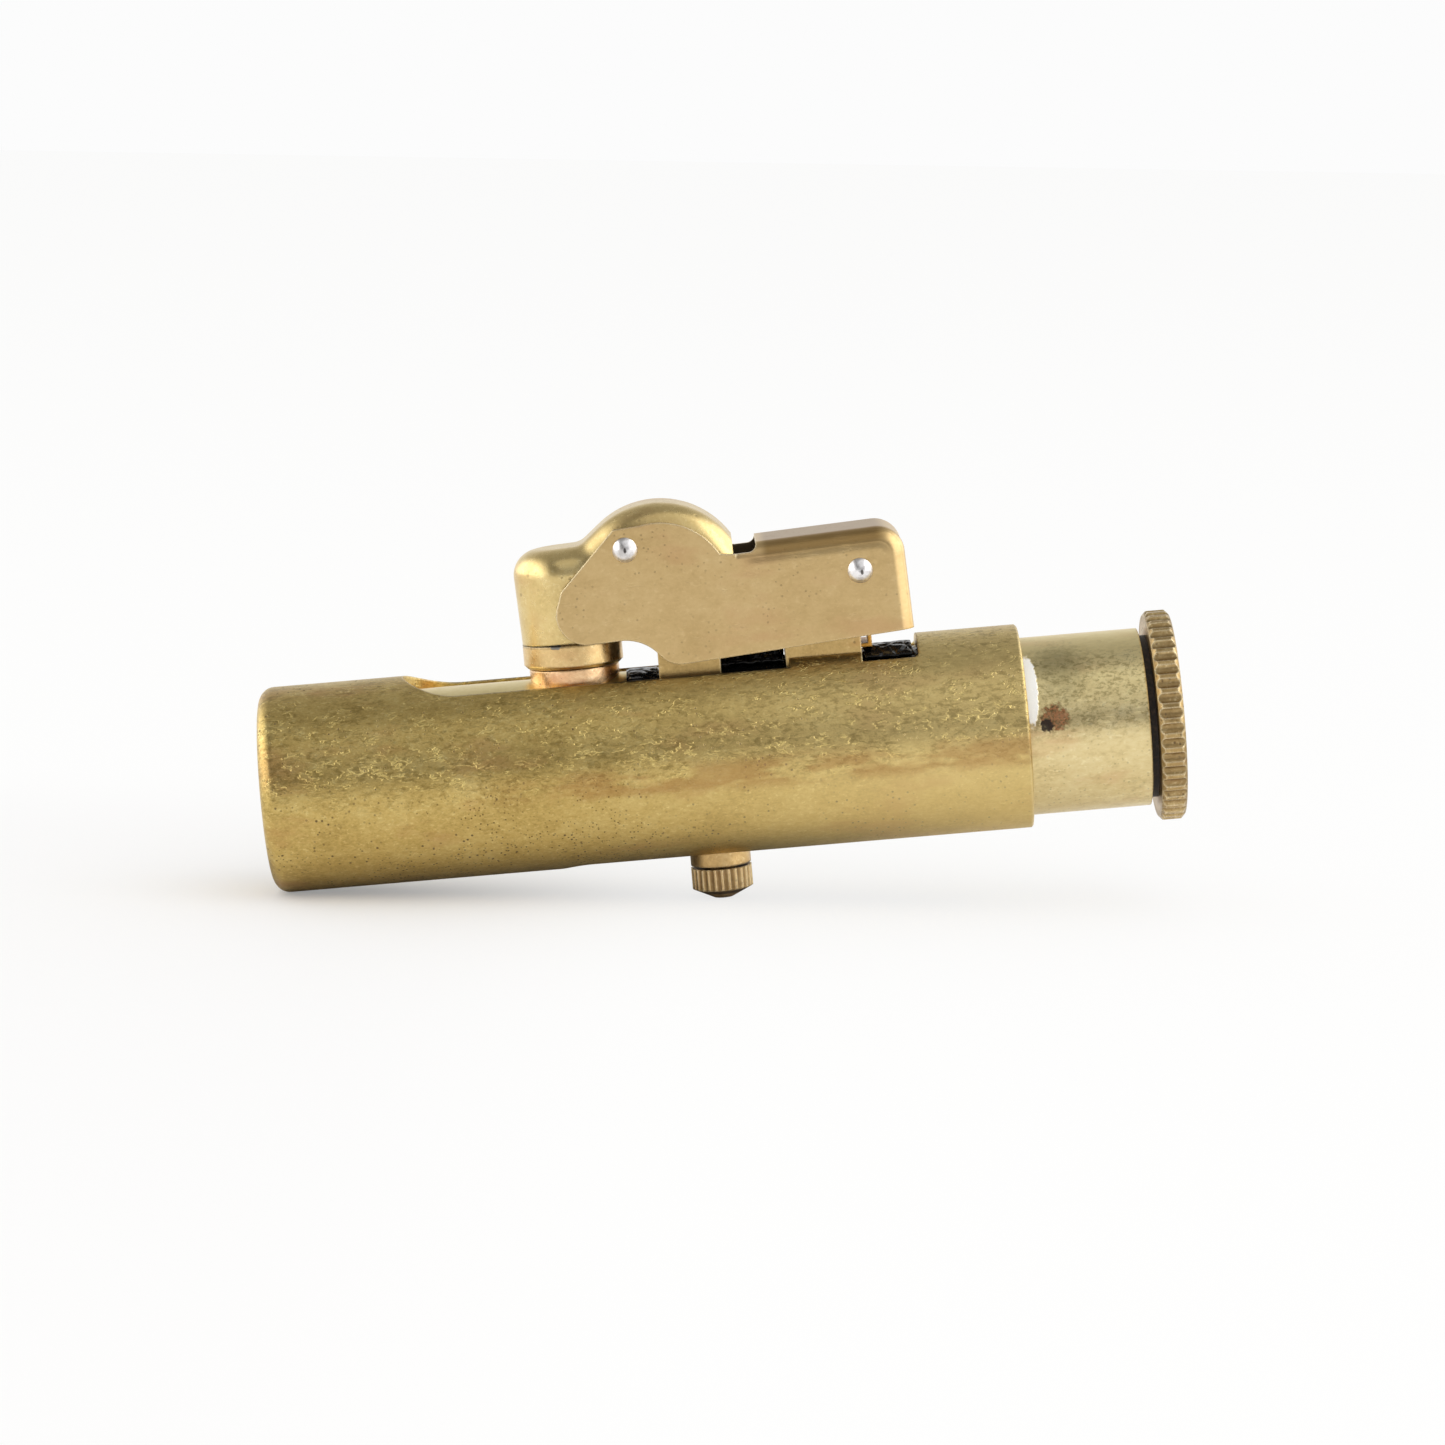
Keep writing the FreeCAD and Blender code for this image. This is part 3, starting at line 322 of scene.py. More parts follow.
def markCase(paint, base, metal, rough, height):
    true = paint.place()
    x, _, above = paint.parts(true)
    # painted light: the case grows lighter towards its right end, over the first span along x
    base = paint.mix(x.rise(*caseMarks["bright"]) * 0.5, base, linear(*caseMarks["paintedLightTone"]))
    long = paint.place((0.5, 1.0, 1.0), shift=(5.0, 2.0, 6.0))
    veil = above.rise(*caseMarks["patina"]) * paint.noise(true, 0.22, 2.0, 0.5).rise(0.25, 0.55)
    olive = paint.noise(long, caseMarks["strokeScale"], 4.0, 0.75, 0.3)
    base = paint.mix(veil * olive.rise(0.54, 0.36) * 0.42, base, linear(*caseMarks["oliveTone"]))
    stroke = paint.curls(long, caseMarks["strokeScale"]) * veil
    base = paint.mix(stroke * 0.6, base, linear(*caseMarks["strokeTone"]))
    stain = above.rise(*caseMarks["stainLow"]) * above.rise(*caseMarks["stainHigh"])
    stain = stain * paint.noise(paint.place((0.3, 1.0, 1.0)), 0.5, 3.0, 0.6).rise(0.4, 0.56)
    base = paint.mix(stain * x.rise(*caseMarks["stainFrom"]) * 0.5, base, linear(*caseMarks["stainTone"]))
    crowd = paint.noise(paint.place((0.6, 1.0, 1.0)), 0.16, 3.0, 0.6).rise(0.42, 0.54)
    crowd = crowd * above.rise(*caseMarks["dots"]) * x.rise(*caseMarks["dotsEnd"])
    fine = paint.sparse(true, caseMarks["dotScale"], 0.3, 0.16) * crowd
    base = paint.mix(fine * 0.75, base, linear(*caseMarks["dotTone"]))
    return base, metal, rough - 0.05 * stroke, height + 1.0 * stroke - 0.8 * fine + veil * olive * 0.8


# the lever's folded edge, softer than its sheet, with a painted dark reflection along its top fold and painted
# shade inside it

def middle(node):
    low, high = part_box(node)
    return [(a + b) / 2 / mm for a, b in zip(low, high)]


leverMarks = {
    "tilt": 2.5, "innerCorner": (1.5, 1.06),      # degrees; then mm along and across the arm, from its pivot
    "start": 0.2, "turn": 1.0, "edge": 2.1, "from": (-9.0, -7.6), "lift": 5.0,
    "paintedFoldShade": (1.7, 2.4), "paintedFoldShadeFrom": (-7.6, -6.8), "paintedFoldShadeEnd": (0.0, 1.2), "paintedFoldShadeTone": (150, 118, 68),
    "inside": (3.93, 3.88), "paintedNotchShadeTop": (2.85, 2.6), "paintedNotchShadeReach": (1.9, 1.8), "paintedNotchShadeTone": (28, 22, 16),
}


def markLever(paint, base, metal, rough, height):
    x, y, z = paint.parts(paint.place())
    pivotX, _, pivotZ = middle("pivot_pin")
    tilt = math.radians(leverMarks["tilt"])
    along = (x - pivotX) * math.cos(tilt) + (z - pivotZ) * math.sin(tilt)
    across = (z - pivotZ) * math.cos(tilt) - (x - pivotX) * math.sin(tilt)
    cornerU, cornerW = leverMarks["innerCorner"]
    right, up = (along - cornerU).most(0.0), (across - cornerW).most(0.0)
    reach = (right * right + up * up) ** 0.5
    first = reach.rise(leverMarks["start"], leverMarks["turn"])
    second = reach.rise(leverMarks["turn"], leverMarks["edge"])
    fold = first * first * 0.36 + (second - second * second * 0.5)
    fold = fold * along.rise(*leverMarks["from"])
    # painted shade: a dark band along the top fold, standing in for a dark reflection there
    paintedFoldShade = across.rise(*leverMarks["paintedFoldShade"]) * along.rise(*leverMarks["paintedFoldShadeFrom"])
    paintedFoldShade = paintedFoldShade * (1.0 - right.rise(*leverMarks["paintedFoldShadeEnd"]))
    base = paint.mix(paintedFoldShade * 0.75, base, linear(*leverMarks["paintedFoldShadeTone"]))
    # painted shade: the inside of the hollow lever, seen through the notch, made nearly black, with less metal
    # and more roughness
    paintedNotchShade = abs(y).rise(*leverMarks["inside"]) * across.rise(*leverMarks["paintedNotchShadeTop"])
    paintedNotchShade = paintedNotchShade * reach.rise(*leverMarks["paintedNotchShadeReach"])
    base = paint.mix(paintedNotchShade * 0.92, base, linear(*leverMarks["paintedNotchShadeTone"]))
    return base, metal * (1.0 - 0.5 * paintedNotchShade), rough + 0.2 * paintedNotchShade, height - fold * leverMarks["lift"]


# the marks on the tank beside the case's mouth, and painted light on its upper part

tankMarks = {
    "solderCentre": (59.3, 33.0), "solderHalf": (0.62, 25.0),     # x in mm, degrees round the tube
    "stainCentre": (61.0, 11.5), "stainHalf": (1.0, 8.0),
    "pitCentre": (60.4, 7.0), "pitHalf": (0.55, 3.6),
    "darkPatchCentre": (61.7, 46.0), "darkPatchHalf": (1.9, 20.0),
    "paintedLightTop": (0.5, 4.5), "veilLow": (-1.0, 1.2), "veilHigh": (6.4, 5.0),      # spans up z in mm
}


def oval(x, angle, centre, half, wobble, rim=0.1):
    # 1 inside an oval on the tube's skin, with a ragged rim
    across = (x - centre[0]) / half[0]
    around = (angle - centre[1]) / half[1]
    reach = (across * across + around * around) ** 0.5 + wobble
    return reach.rise(1.0 + rim, 1.0 - rim)


def markTank(paint, base, metal, rough, height):
    true = paint.place()
    x, y, z = paint.parts(true)
    angle = paint.add("ShaderNodeMath", {"operation": "ARCTAN2"}, [z, -y]) * (180 / math.pi)
    grain = paint.noise(true, 2.6, 3.0, 0.6) - 0.5
    darkPatch = oval(x, angle, tankMarks["darkPatchCentre"], tankMarks["darkPatchHalf"], grain * 1.6, 0.6)
    stain = oval(x, angle, tankMarks["stainCentre"], tankMarks["stainHalf"], grain * 1.5, 0.25)
    pit = oval(x, angle, tankMarks["pitCentre"], tankMarks["pitHalf"], grain * 2.2, 0.3)
    solder = oval(x, angle, tankMarks["solderCentre"], tankMarks["solderHalf"], grain * 0.5)
    # painted light: the tank paler towards its top
    base = paint.mix(z.rise(*tankMarks["paintedLightTop"]) * 0.5, base, linear(255, 236, 172))
    long = paint.place((0.6, 1.0, 1.0), shift=(4.0, 9.0, 1.0))
    veil = z.rise(*tankMarks["veilLow"]) * z.rise(*tankMarks["veilHigh"])
    olive = paint.noise(long, 3.0, 4.0, 0.75, 0.3)
    base = paint.mix(veil * olive.rise(0.54, 0.38) * 0.5, base, linear(118, 100, 46))
    base = paint.mix(paint.curls(long, 2.4) * veil * 0.5, base, linear(255, 240, 180))
    # a darker olive patch, right of the pale patch
    base = paint.mix(darkPatch * 0.4, base, linear(112, 104, 66))
    blotch = paint.noise(true, 5.0, 3.0, 0.6).rise(0.42, 0.6)
    base = paint.mix(stain * 0.85, base, paint.mix(blotch, linear(160, 98, 66), linear(88, 66, 40)))
    base = paint.mix(pit * 0.95, base, linear(30, 20, 14))
    base = paint.mix(solder, base, linear(250, 250, 248))
    metal = metal * (1.0 - 0.8 * solder) * (1.0 - 0.6 * pit)
    rough = rough + 0.18 * stain + 0.2 * pit + 0.1 * solder
    height = height - 1.2 * pit + 1.4 * solder - 0.4 * stain * blotch
    return base, metal, rough, height


# the knurling: darker in the grooves, which on the filler screw is painted shade, and wear on the ridges

knurlMarks = {"screwHead": 2.6, "depth": (0.03, 0.24), "screwGrooveDark": 0.8, "fillerGrooveShade": 0.25}


def groove(radius, outside):
    near, deep = (outside - step for step in knurlMarks["depth"])
    return radius.rise(near, deep) * radius.rise(outside - 1.0, outside - 0.6)


def markScrew(paint, base, metal, rough, height):
    x, y, z = paint.parts(paint.place())
    low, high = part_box("flint_screw")
    outside, centreX = (high[0] - low[0]) / 2 / mm, middle("flint_screw")[0]
    radius = ((x - centreX) * (x - centreX) + y * y) ** 0.5
    head = z.rise(low[2] / mm + knurlMarks["screwHead"], low[2] / mm + knurlMarks["screwHead"] - 0.05)
    # darker in the screw's grooves
    darkening = groove(radius, outside) * head * knurlMarks["screwGrooveDark"]
    return paint.mix(darkening, base, linear(58, 38, 20)), metal, rough + 0.15 * darkening, height


def markFiller(paint, base, metal, rough, height):
    x, y, z = paint.parts(paint.place())
    low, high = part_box("filler_screw")
    outside = (high[1] - low[1]) / 2 / mm
    radius = (y * y + z * z) ** 0.5
    # painted shade: the filler's grooves darkened, standing in for the dark lines under its ridges
    darkening = groove(radius, outside) * knurlMarks["fillerGrooveShade"]
    return paint.mix(darkening, base, linear(58, 40, 22)), metal, rough + 0.15 * darkening, height


# the soldered seam between cup and hood

cupMarks = {"spotX": 23.37, "spotZ": 9.72, "half": (0.42, 0.24), "ringTop": (9.45, 9.62)}


def markCup(paint, base, metal, rough, height):
    true = paint.place()
    x, y, z = paint.parts(true)
    grain = paint.noise(true, 4.0, 2.0, 0.5) - 0.5
    across = (x - cupMarks["spotX"]) / cupMarks["half"][0]
    up = (z - cupMarks["spotZ"]) / cupMarks["half"][1]
    spot = ((across * across + up * up) ** 0.5 + grain).rise(1.1, 0.9) * y.rise(0.0, -0.5)
    base = paint.mix(spot, base, linear(150, 148, 140))
    ringTop = z.rise(*cupMarks["ringTop"])
    base = paint.mix(ringTop * (0.25 + 0.35 * (grain + 0.5)), base, linear(72, 54, 34))
    return base, metal, rough + 0.1 * spot, height + 0.8 * spot


# steels

steelLook = {
    "rivetSteel": {"dark": (206, 202, 200), "light": (252, 250, 250), "rough": 0.2, "bump": 0.18, "scale": 1.3},
    "toolSteel": {"dark": (52, 48, 44), "light": (150, 142, 132), "rough": 0.38, "bump": 0.5, "scale": 2.2},
    "flintAlloy": {"dark": (38, 36, 36), "light": (84, 80, 78), "rough": 0.62, "bump": 0.9, "scale": 5.0},
}

# a small scar on each rivet's head, in mm from its centre
rivetMarks = {"hood_rivet": (0.0, 0.0), "pivot_pin": (0.12, -0.1)}


def steelFinish(name):
    look = steelLook[name]
    material, paint = newPaint(name)
    here = paint.place()
    stain = paint.noise(here, look["scale"], 4.0, 0.6)
    dents = paint.cells(here, look["scale"] * 1.1, "SMOOTH_F1")
    base = paint.mix(stain.rise(0.36, 0.62), linear(*look["dark"]), linear(*look["light"]))
    if name == "rivetSteel":
        x, y, z = paint.parts(here)
        for rivet, (aside, under) in rivetMarks.items():
            centreX, _, centreZ = middle(rivet)
            right, up = x - centreX - aside, z - centreZ - under
            scar = ((right * right * 9.0 + up * up * 2.5) ** 0.5 + (dents - 0.4) * 0.2).rise(0.42, 0.3)
            base = paint.mix(scar * 0.85, base, linear(60, 54, 50))
    soft = paint.add("ShaderNodeBevel", {"samples": 4}, {"Radius": 0.08 * mm})
    normal = paint.add("ShaderNodeBump", {}, {"Strength": look["bump"], "Distance": 0.12 * mm,
                                              "Height": dents * 0.6 + stain * 0.5, "Normal": soft})
    rough = look["rough"] + 0.2 * (1.0 - stain)
    paint.finish(paint.add("ShaderNodeBsdfPrincipled", {}, {
        "Base Color": base, "Metallic": 1.0, "Roughness": rough, "Normal": normal}))
    return material


# black wrap and gasket

def wrapFinish():
    # shiny black sleeving, creased across
    material, paint = newPaint("linerBlack")
    here = paint.place((1.0, 0.7, 0.7), shift=(3.0, 1.0, 2.0))
    creases = paint.cells(here, 0.9, "DISTANCE_TO_EDGE")
    folds = paint.noise(here, 0.6, 3.0, 0.5, 0.8)
    dust = paint.noise(paint.place(), 6.0, 3.0, 0.6).rise(0.62, 0.8)
    base = paint.mix(dust * 0.15, linear(16, 15, 15), linear(96, 88, 76))
    height = folds * 1.2 - creases.rise(0.25, 0.0) * 0.6
    normal = paint.add("ShaderNodeBump", {}, {"Strength": 0.7, "Distance": 0.18 * mm, "Height": height})
    paint.finish(paint.add("ShaderNodeBsdfPrincipled", {}, {
        "Base Color": base, "Roughness": 0.2 + 0.3 * dust, "Specular IOR Level": 0.4, "Normal": normal}))
    return material


def gasketFinish():
    material, paint = newPaint("gasketBlack")
    here = paint.place()
    grain = paint.noise(here, 4.0, 4.0, 0.6)
    base = paint.mix(grain.rise(0.4, 0.7), linear(18, 15, 13), linear(58, 44, 34))
    normal = paint.add("ShaderNodeBump", {}, {"Strength": 0.4, "Distance": 0.05 * mm, "Height": grain})
    paint.finish(paint.add("ShaderNodeBsdfPrincipled", {}, {
        "Base Color": base, "Roughness": 0.5 + 0.2 * grain, "Normal": normal}))
    return material


# cotton

cottonLook = {
    "wickCotton": {
        "clean": (226, 214, 186), "dirty": (150, 128, 92), "scorch": (26, 22, 20), "scorchAt": (9.1, 9.7),
    },
    "waddingCotton": {      # scorchAt is above the piece, so none of it is scorched
        "clean": (238, 234, 224), "dirty": (212, 200, 176), "scorch": (200, 190, 170), "scorchAt": (90.0, 91.0),
    },
}


def cottonFinish(name):
    look = cottonLook[name]
    material, paint = newPaint(name)
    here = paint.place()
    fibres = paint.noise(paint.place((1.0, 1.0, 0.25), turn=(0, 35, 0)), 9.0, 4.0, 0.7)
    darkening = paint.noise(here, 1.2, 3.0, 0.6)
    height = paint.parts(here)[2]
    base = paint.mix(darkening.rise(0.4, 0.65), linear(*look["clean"]), linear(*look["dirty"]))
    scorch = (height + (fibres - 0.5) * 0.8).rise(*look["scorchAt"])
    base = paint.mix(scorch, base, linear(*look["scorch"]))
    base = paint.mix(fibres.rise(0.5, 0.35) * 0.35, base, linear(120, 100, 74))
    normal = paint.add("ShaderNodeBump", {}, {"Strength": 0.8, "Distance": 0.08 * mm, "Height": fibres})
    paint.finish(paint.add("ShaderNodeBsdfPrincipled", {}, {
        "Base Color": base, "Roughness": 0.92, "Sheen Weight": 0.3, "Normal": normal}))
    return material


markings = {"caseBrass": [markCase], "armBrass": [markLever], "tankBrass": [markTank], "cupBrass": [markCup],
            "knurledBrass": [markFiller], "flintBrass": [markScrew]}
finishes = {name: brassFinish(name, markings.get(name, ())) for name in brassLook}
finishes.update({name: steelFinish(name) for name in steelLook})
finishes.update({name: cottonFinish(name) for name in cottonLook})
finishes["linerBlack"] = wrapFinish()
finishes["gasketBlack"] = gasketFinish()
print("finishes made:", len(finishes))

dressing = {
    "case_tube": "caseBrass", "tank_tube": "tankBrass", "tank_end_cap": "tankBrass", "filler_bush": "tankBrass",
    "friction_liner": "linerBlack", "cotton_wadding": "waddingCotton", "burner_collar": "copper",
    "wick_tube": "copper", "wick": "wickCotton", "filler_gasket": "gasketBlack", "filler_screw": "knurledBrass",
    "flint_tube": "bracketBrass", "flint_bush": "flintBrass", "flint_screw": "flintBrass", "flint": "flintAlloy",
    "flint_pusher": "bracketBrass", "flint_spring": "springBronze", "wheel_bracket": "bracketBrass",
    "spark_wheel": "toolSteel", "wheel_axle": "rivetSteel", "arm_spring": "springBronze", "arm_lever": "armBrass",
    "arm_hood": "hoodBrass", "snuffer_cup": "cupBrass", "hood_rivet": "rivetSteel", "pivot_pin": "rivetSteel",
    "pivot_washers": "bracketBrass", "arm_heel": "bracketBrass",
}
for name, finish in dressing.items():
    piece = nodes[name]
    if not piece.material_slots:
        piece.data.materials.append(finishes[finish])
    for place in piece.material_slots:
        place.material = finishes[finish]
print("nodes dressed:", len(dressing))


# modelling helpers

def startAlone():
    if bpy.context.mode != "OBJECT":
        bpy.ops.object.mode_set(mode="OBJECT")
    bpy.ops.object.select_all(action="DESELECT")


def pick(test, kind="VERT"):
    # in edit mode: select the vertices or edges whose place passes a test
    bpy.ops.mesh.select_all(action="DESELECT")
    bpy.ops.object.mode_set(mode="OBJECT")
    mesh = bpy.context.object.data
    if kind == "VERT":
        for vertex in mesh.vertices:
            vertex.select = test(vertex.co)
    else:
        for edge in mesh.edges:
            edge.select = test(*(mesh.vertices[index].co for index in edge.vertices))
    bpy.ops.object.mode_set(mode="EDIT")
    bpy.ops.mesh.select_mode(type=kind)


def applyModifier(kind, **settings):
    piece = bpy.context.object
    modifier = piece.modifiers.new(kind.title(), kind)
    for name, setting in settings.items():
        setattr(modifier, name, setting)
    bpy.ops.object.modifier_apply(modifier=modifier.name)


def settle(name, finish, body, angle=40):
    # name, place in the mesh, smooth, finish and body for the active piece
    piece = bpy.context.object
    piece.name = name
    piece.data.name = name
    bpy.ops.object.transform_apply(location=True, rotation=True, scale=True)
    bpy.ops.object.shade_smooth_by_angle(angle=math.radians(angle))
    piece.data.materials.clear()
    piece.data.materials.append(finishes[finish])
    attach(piece, body)
    print("piece made:", name, len(piece.data.polygons), "faces")
    return piece


# wick: a cord of twisted strands with an open, frayed end

wickLook = {
    "strands": 6, "strandRadius": 0.46, "ring": 0.76, "turns": 2.6, "cuts": 70,
    "fluffScale": 0.25, "fluff": 0.09, "frayLength": 0.5, "fray": 0.10,
}


def addStrand(vertices, long, place):
    bpy.ops.mesh.primitive_cylinder_add(vertices=vertices, radius=wickLook["strandRadius"] * mm, depth=long,
                                        location=place)
    bpy.ops.object.mode_set(mode="EDIT")
    pick(lambda a, b: abs(a.z - b.z) > long / 2, "EDGE")
    bpy.ops.mesh.subdivide(number_cuts=wickLook["cuts"])
    bpy.ops.object.mode_set(mode="OBJECT")


def makeWick():
    low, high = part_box("wick")
    x, long = (low.x + high.x) / 2, high.z - low.z
    startAlone()
    addStrand(10, long, (wickLook["ring"] * mm, 0, 0))
    bpy.ops.object.transform_apply(location=True, rotation=True, scale=True)
    strands = [bpy.context.object]
    for _ in range(wickLook["strands"] - 1):
        bpy.ops.object.duplicate()
        bpy.ops.transform.rotate(value=math.tau / wickLook["strands"], orient_axis="Z", center_override=(0, 0, 0))
        bpy.ops.object.transform_apply(location=True, rotation=True, scale=True)
        strands.append(bpy.context.object)
    startAlone()
    addStrand(12, long, (0, 0, 0))      # the core
    for strand in strands:
        strand.select_set(True)
    bpy.ops.object.join()
    applyModifier("SIMPLE_DEFORM", deform_method="TWIST", deform_axis="Z", angle=math.tau * wickLook["turns"])
    fluff = bpy.data.textures.new("wickFluff", "CLOUDS")
    fluff.noise_scale = wickLook["fluffScale"] * mm
    applyModifier("DISPLACE", texture=fluff, texture_coords="LOCAL", strength=wickLook["fluff"] * mm,
                  mid_level=0.75)
    bpy.ops.object.mode_set(mode="EDIT")
    pick(lambda spot: spot.z > long / 2 - wickLook["frayLength"] * mm)      # the free end is ragged
    bpy.ops.transform.vertex_random(offset=wickLook["fray"] * mm, seed=4)
    bpy.ops.mesh.select_all(action="SELECT")
    bpy.ops.transform.translate(value=(x, 0, (low.z + high.z) / 2))
    bpy.ops.object.mode_set(mode="OBJECT")
    wick = settle("wickCord", "wickCotton", "tank", 60)
    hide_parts("wick")


# liner folds: the black sleeving bulges up where the bracket leaves room for it

foldLook = {
    "linerFoldFront": {"from": 28.75, "to": 31.0, "radius": 7.12, "spread": 24.0, "crumple": 0.05},
    "linerFoldWindow": {"from": 36.05, "to": 40.85, "radius": 7.9, "spread": 22.0, "crumple": 0.2},
    "linerFoldRear": {"from": 47.05, "to": 50.75, "radius": 7.5, "spread": 24.0, "crumple": 0.05},
}
foldSkin = {"along": 48, "around": 44, "creaseScale": 1.1, "thickness": 0.22}


def makeFold(name):
    look = foldLook[name]
    length = (look["to"] - look["from"]) * mm
    startAlone()
    bpy.ops.mesh.primitive_grid_add(x_subdivisions=foldSkin["along"], y_subdivisions=1, size=length,
                                    location=((look["from"] + look["to"]) / 2 * mm, 0, look["radius"] * mm))
    bpy.ops.object.transform_apply(location=True, rotation=True, scale=True)
    bpy.ops.object.mode_set(mode="EDIT")
    pick(lambda spot: spot.y > 0)
    bpy.ops.mesh.delete(type="VERT")
    bpy.ops.mesh.select_all(action="SELECT")
    bpy.ops.transform.resize(value=(1, 0, 1), center_override=(0, 0, 0))
    bpy.ops.transform.rotate(value=-math.radians(look["spread"]), orient_axis="X", center_override=(0, 0, 0))
    bpy.ops.mesh.spin(steps=foldSkin["around"], angle=math.radians(2 * look["spread"]), center=(0, 0, 0),
                      axis=(1, 0, 0))
    bpy.ops.mesh.select_all(action="SELECT")
    bpy.ops.mesh.remove_doubles(threshold=0.001 * mm)
    bpy.ops.mesh.normals_make_consistent(inside=False)
    bpy.ops.object.mode_set(mode="OBJECT")
    crumple = bpy.data.textures.new(name + "Crumple", "MUSGRAVE")
    crumple.musgrave_type = "RIDGED_MULTIFRACTAL"
    crumple.noise_scale = foldSkin["creaseScale"] * mm
    applyModifier("DISPLACE", texture=crumple, texture_coords="LOCAL", strength=-look["crumple"] * mm,
                  mid_level=0.2)
    applyModifier("SOLIDIFY", thickness=foldSkin["thickness"] * mm, offset=-1.0)
    applyModifier("SMOOTH", factor=0.5, iterations=2)
    settle(name, "linerBlack", "tank", 80)


makeWick()
for foldName in foldLook:
    makeFold(foldName)


# floor, backdrop, light and camera

studio = {
    # where the case and the flint screw touch the floor, x and z in mm
    "floorPoint": (1.0, -8.0), "floorTip": (33.9, -11.32),
    "floorSize": 6.0, "floorColour": (0.93, 0.925, 0.92),
    # how much of the floor shines by itself: less near the object, over these spans along x and y in mm
    "floorGlow": (0.28, 0.76), "glowFrom": (4.0, 34.0), "glowLeft": (-90.0, -25.0), "glowNear": (70.0, 25.0),
    # painted shadow: where reflections see the floor darkened, under and behind the object, along y and then x in
    # mm
    "mirrorShade": 0.86, "mirrorFrom": (-9.0, 6.0), "mirrorTo": (34.0, 15.0),
    "mirrorLeft": (54.0, 34.0), "mirrorRight": (-9.0, -1.0),
    "worldFill": 0.90, "backdrop": (252, 252, 252), "sides": (0.45, 0.8), "sideLevel": 2.1,
    "keyPower": 2.5, "keySize": (1.4, 1.0), "keyPlace": (0.42, -0.52, 0.74), "keyAim": (0.035, 0, 0),
    # what metal reflects: half a turn over the object, front to back
    "bands": [(0.00, 0.38), (0.04, 0.29), (0.11, 0.27), (0.18, 0.12), (0.32, 0.12), (0.40, 0.24), (0.50, 0.33),
              (0.60, 0.37), (0.68, 0.42), (0.77, 0.55), (0.88, 0.78), (1.00, 1.0)],
}


def makeFloor():
    x1, z1 = studio["floorPoint"]
    x2, z2 = studio["floorTip"]
    lean = math.atan2(z1 - z2, x2 - x1)
    startAlone()
    bpy.ops.mesh.primitive_plane_add(size=studio["floorSize"], rotation=(0, lean, 0),
                                     location=(x1 * mm, 0, z1 * mm))
    bpy.ops.object.transform_apply(location=True, rotation=True, scale=True)
    floor = bpy.context.object
    floor.name = "studioFloor"
    material, paint = newPaint("paleFloor")
    shade = paint.add("ShaderNodeBsdfDiffuse", {}, {"Color": (*studio["floorColour"], 1.0)})
    glow = paint.add("ShaderNodeEmission", {}, {"Color": (1.0, 1.0, 0.995, 1.0), "Strength": 1.0})
    seen, mirrored, passed = paint.rays()
    x, y, _ = paint.parts(paint.place())
    near, far = studio["floorGlow"]
    deeper = (1.0 - x.rise(*studio["glowFrom"])) * x.rise(*studio["glowLeft"]) * y.rise(*studio["glowNear"])
    share = (seen + passed).clamp() * (far - (far - near) * deeper)
    plain = paint.add("ShaderNodeMixShader", {}, {0: share, 1: shade, 2: glow})
    # painted shadow seen only in reflections: the floor under and behind the object goes darker for mirrored rays
    under = y.rise(*studio["mirrorFrom"]) * y.rise(*studio["mirrorTo"])
    under = under * x.rise(*studio["mirrorLeft"]) * x.rise(*studio["mirrorRight"])
    dim = mirrored * under * studio["mirrorShade"]
    dark = paint.add("ShaderNodeBsdfDiffuse", {}, {"Color": (0.0, 0.0, 0.0, 1.0)})
    paint.finish(paint.add("ShaderNodeMixShader", {}, {0: dim, 1: plain, 2: dark}))
    floor.data.materials.append(material)


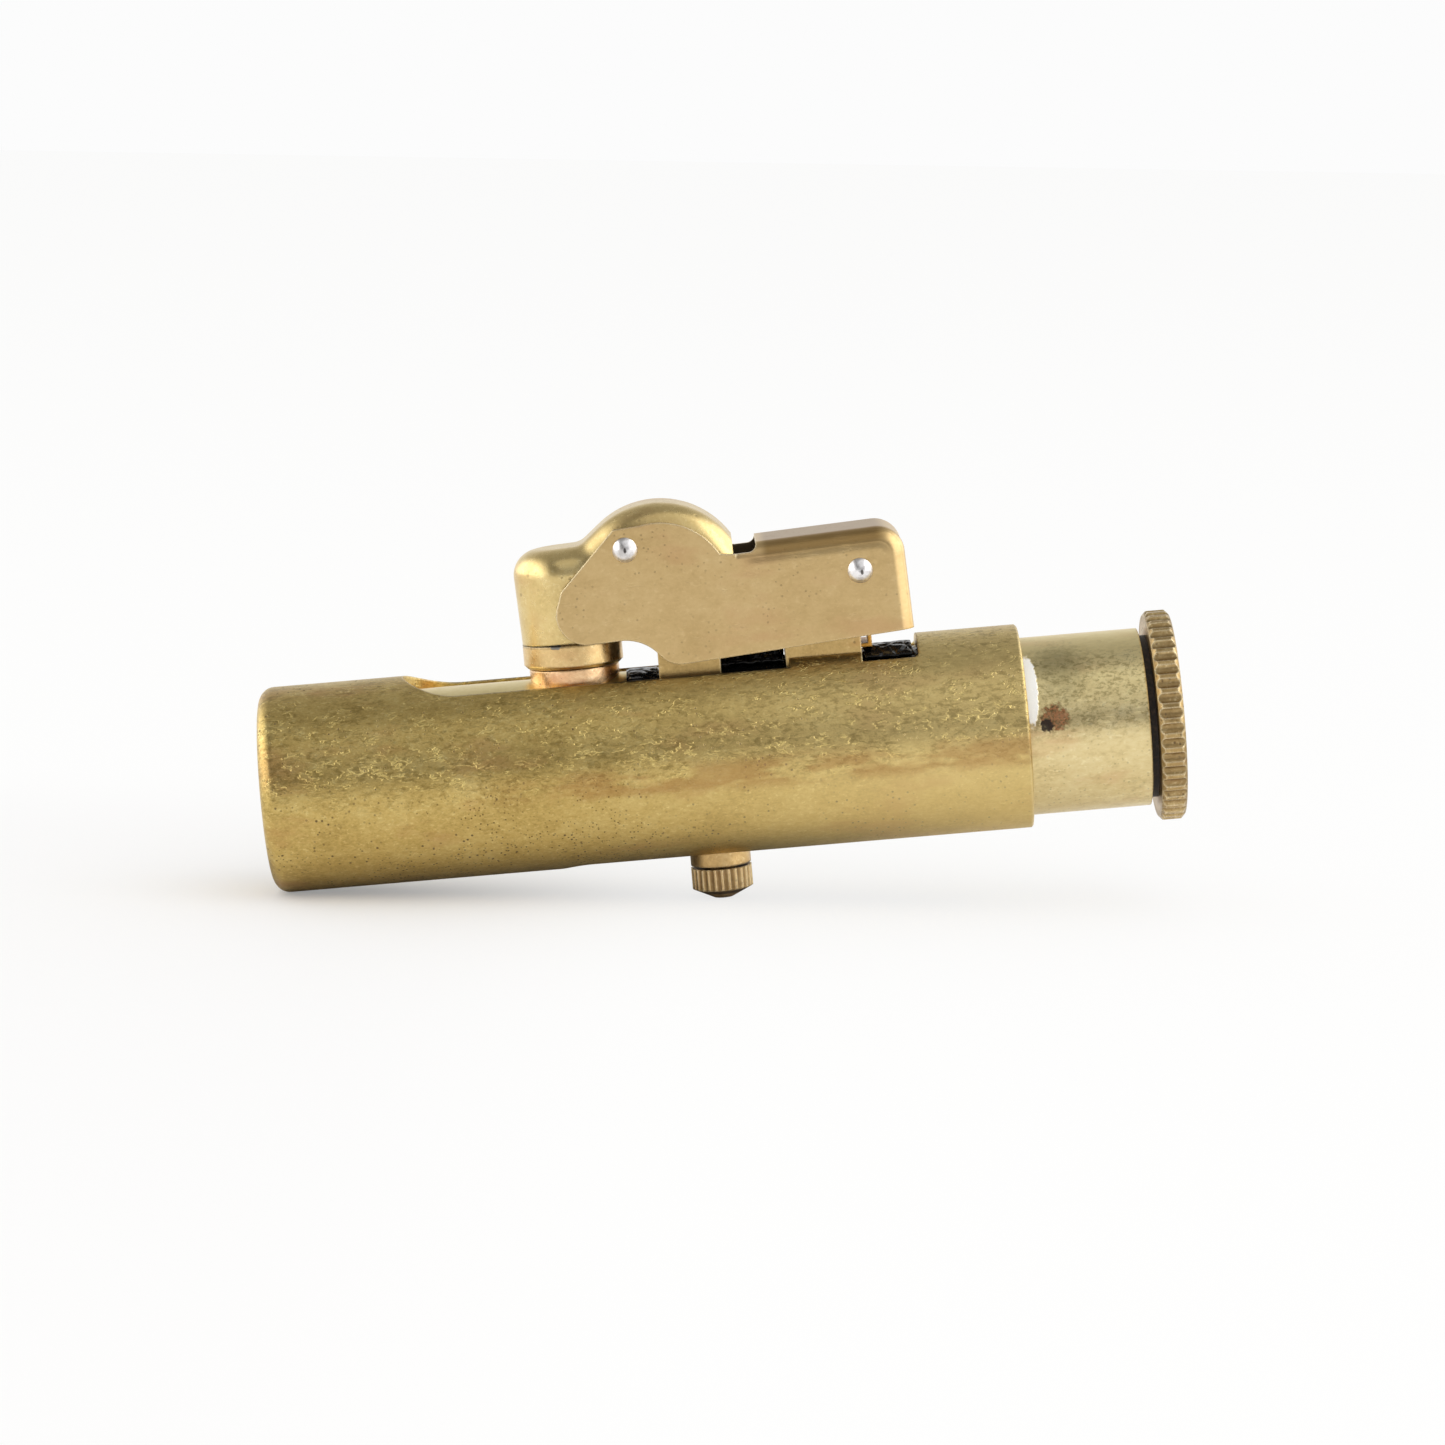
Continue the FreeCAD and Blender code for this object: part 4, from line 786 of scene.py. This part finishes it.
def makeWorld():
    world = bpy.data.worlds.new("studioWorld")
    bpy.context.scene.world = world
    world.use_nodes = True
    paint = Paint(world.node_tree)
    x, y, z = paint.parts(paint.add("ShaderNodeTexCoord", out="Generated"))
    turn = paint.add("ShaderNodeMath", {"operation": "ARCTAN2"}, [z, -y]) / math.pi
    stops = [(spot, (level, level, level)) for spot, level in studio["bands"]]
    room = paint.add("ShaderNodeValToRGB", {"stops": stops}, [turn])
    room = paint.mix(abs(x).rise(*studio["sides"]), room, (studio["sideLevel"],) * 3)      # white at both ends
    seen, mirrored, passed = paint.rays()
    fill = (studio["worldFill"],) * 3
    colour = paint.mix(mirrored, fill, room)
    colour = paint.mix((seen + passed).clamp(), colour, linear(*studio["backdrop"]))
    background = paint.add("ShaderNodeBackground", {}, {"Color": colour, "Strength": 1.0})
    output = world.node_tree.nodes.new("ShaderNodeOutputWorld")
    world.node_tree.links.new(background.socket, output.inputs[0])


def makeLights():
    startAlone()
    bpy.ops.object.light_add(type="AREA", location=studio["keyPlace"])
    key = bpy.context.object
    key.name = "keyPanel"
    key.data.shape = "RECTANGLE"
    key.data.size, key.data.size_y = studio["keySize"]
    key.data.energy = studio["keyPower"]
    aim = Vector(studio["keyAim"]) - key.location
    key.rotation_euler = aim.to_track_quat("-Z", "Y").to_euler()


cameraLook = {
    "aim": (35.685, 0.0, 2.308), "distance": 396.0, "lens": 127.0, "sensor": 36.0,      # mm
    "rise": 7.4, "roll": 4.85,      # degrees
    "clip": (0.01, 20.0),
}


def makeCamera():
    rise, roll = math.radians(cameraLook["rise"]), math.radians(cameraLook["roll"])
    along = Vector((0, math.cos(rise), -math.sin(rise)))
    upright = Vector((0, math.sin(rise), math.cos(rise)))
    right = math.cos(roll) * Vector((1, 0, 0)) - math.sin(roll) * upright
    up = math.sin(roll) * Vector((1, 0, 0)) + math.cos(roll) * upright
    spot = Vector(cameraLook["aim"]) * mm - along * cameraLook["distance"] * mm
    bpy.ops.object.camera_add(location=spot)
    camera = bpy.context.object
    camera.name = "mainCamera"
    camera.data.lens = cameraLook["lens"]
    camera.data.sensor_width = cameraLook["sensor"]
    camera.data.clip_start, camera.data.clip_end = cameraLook["clip"]
    camera.matrix_world = Matrix.Translation(spot) @ Matrix((right, up, -along)).transposed().to_4x4()
    bpy.context.scene.camera = camera


makeFloor()
makeWorld()
makeLights()
makeCamera()
bpy.context.scene.view_settings.view_transform = "Standard"
print("studio ready")
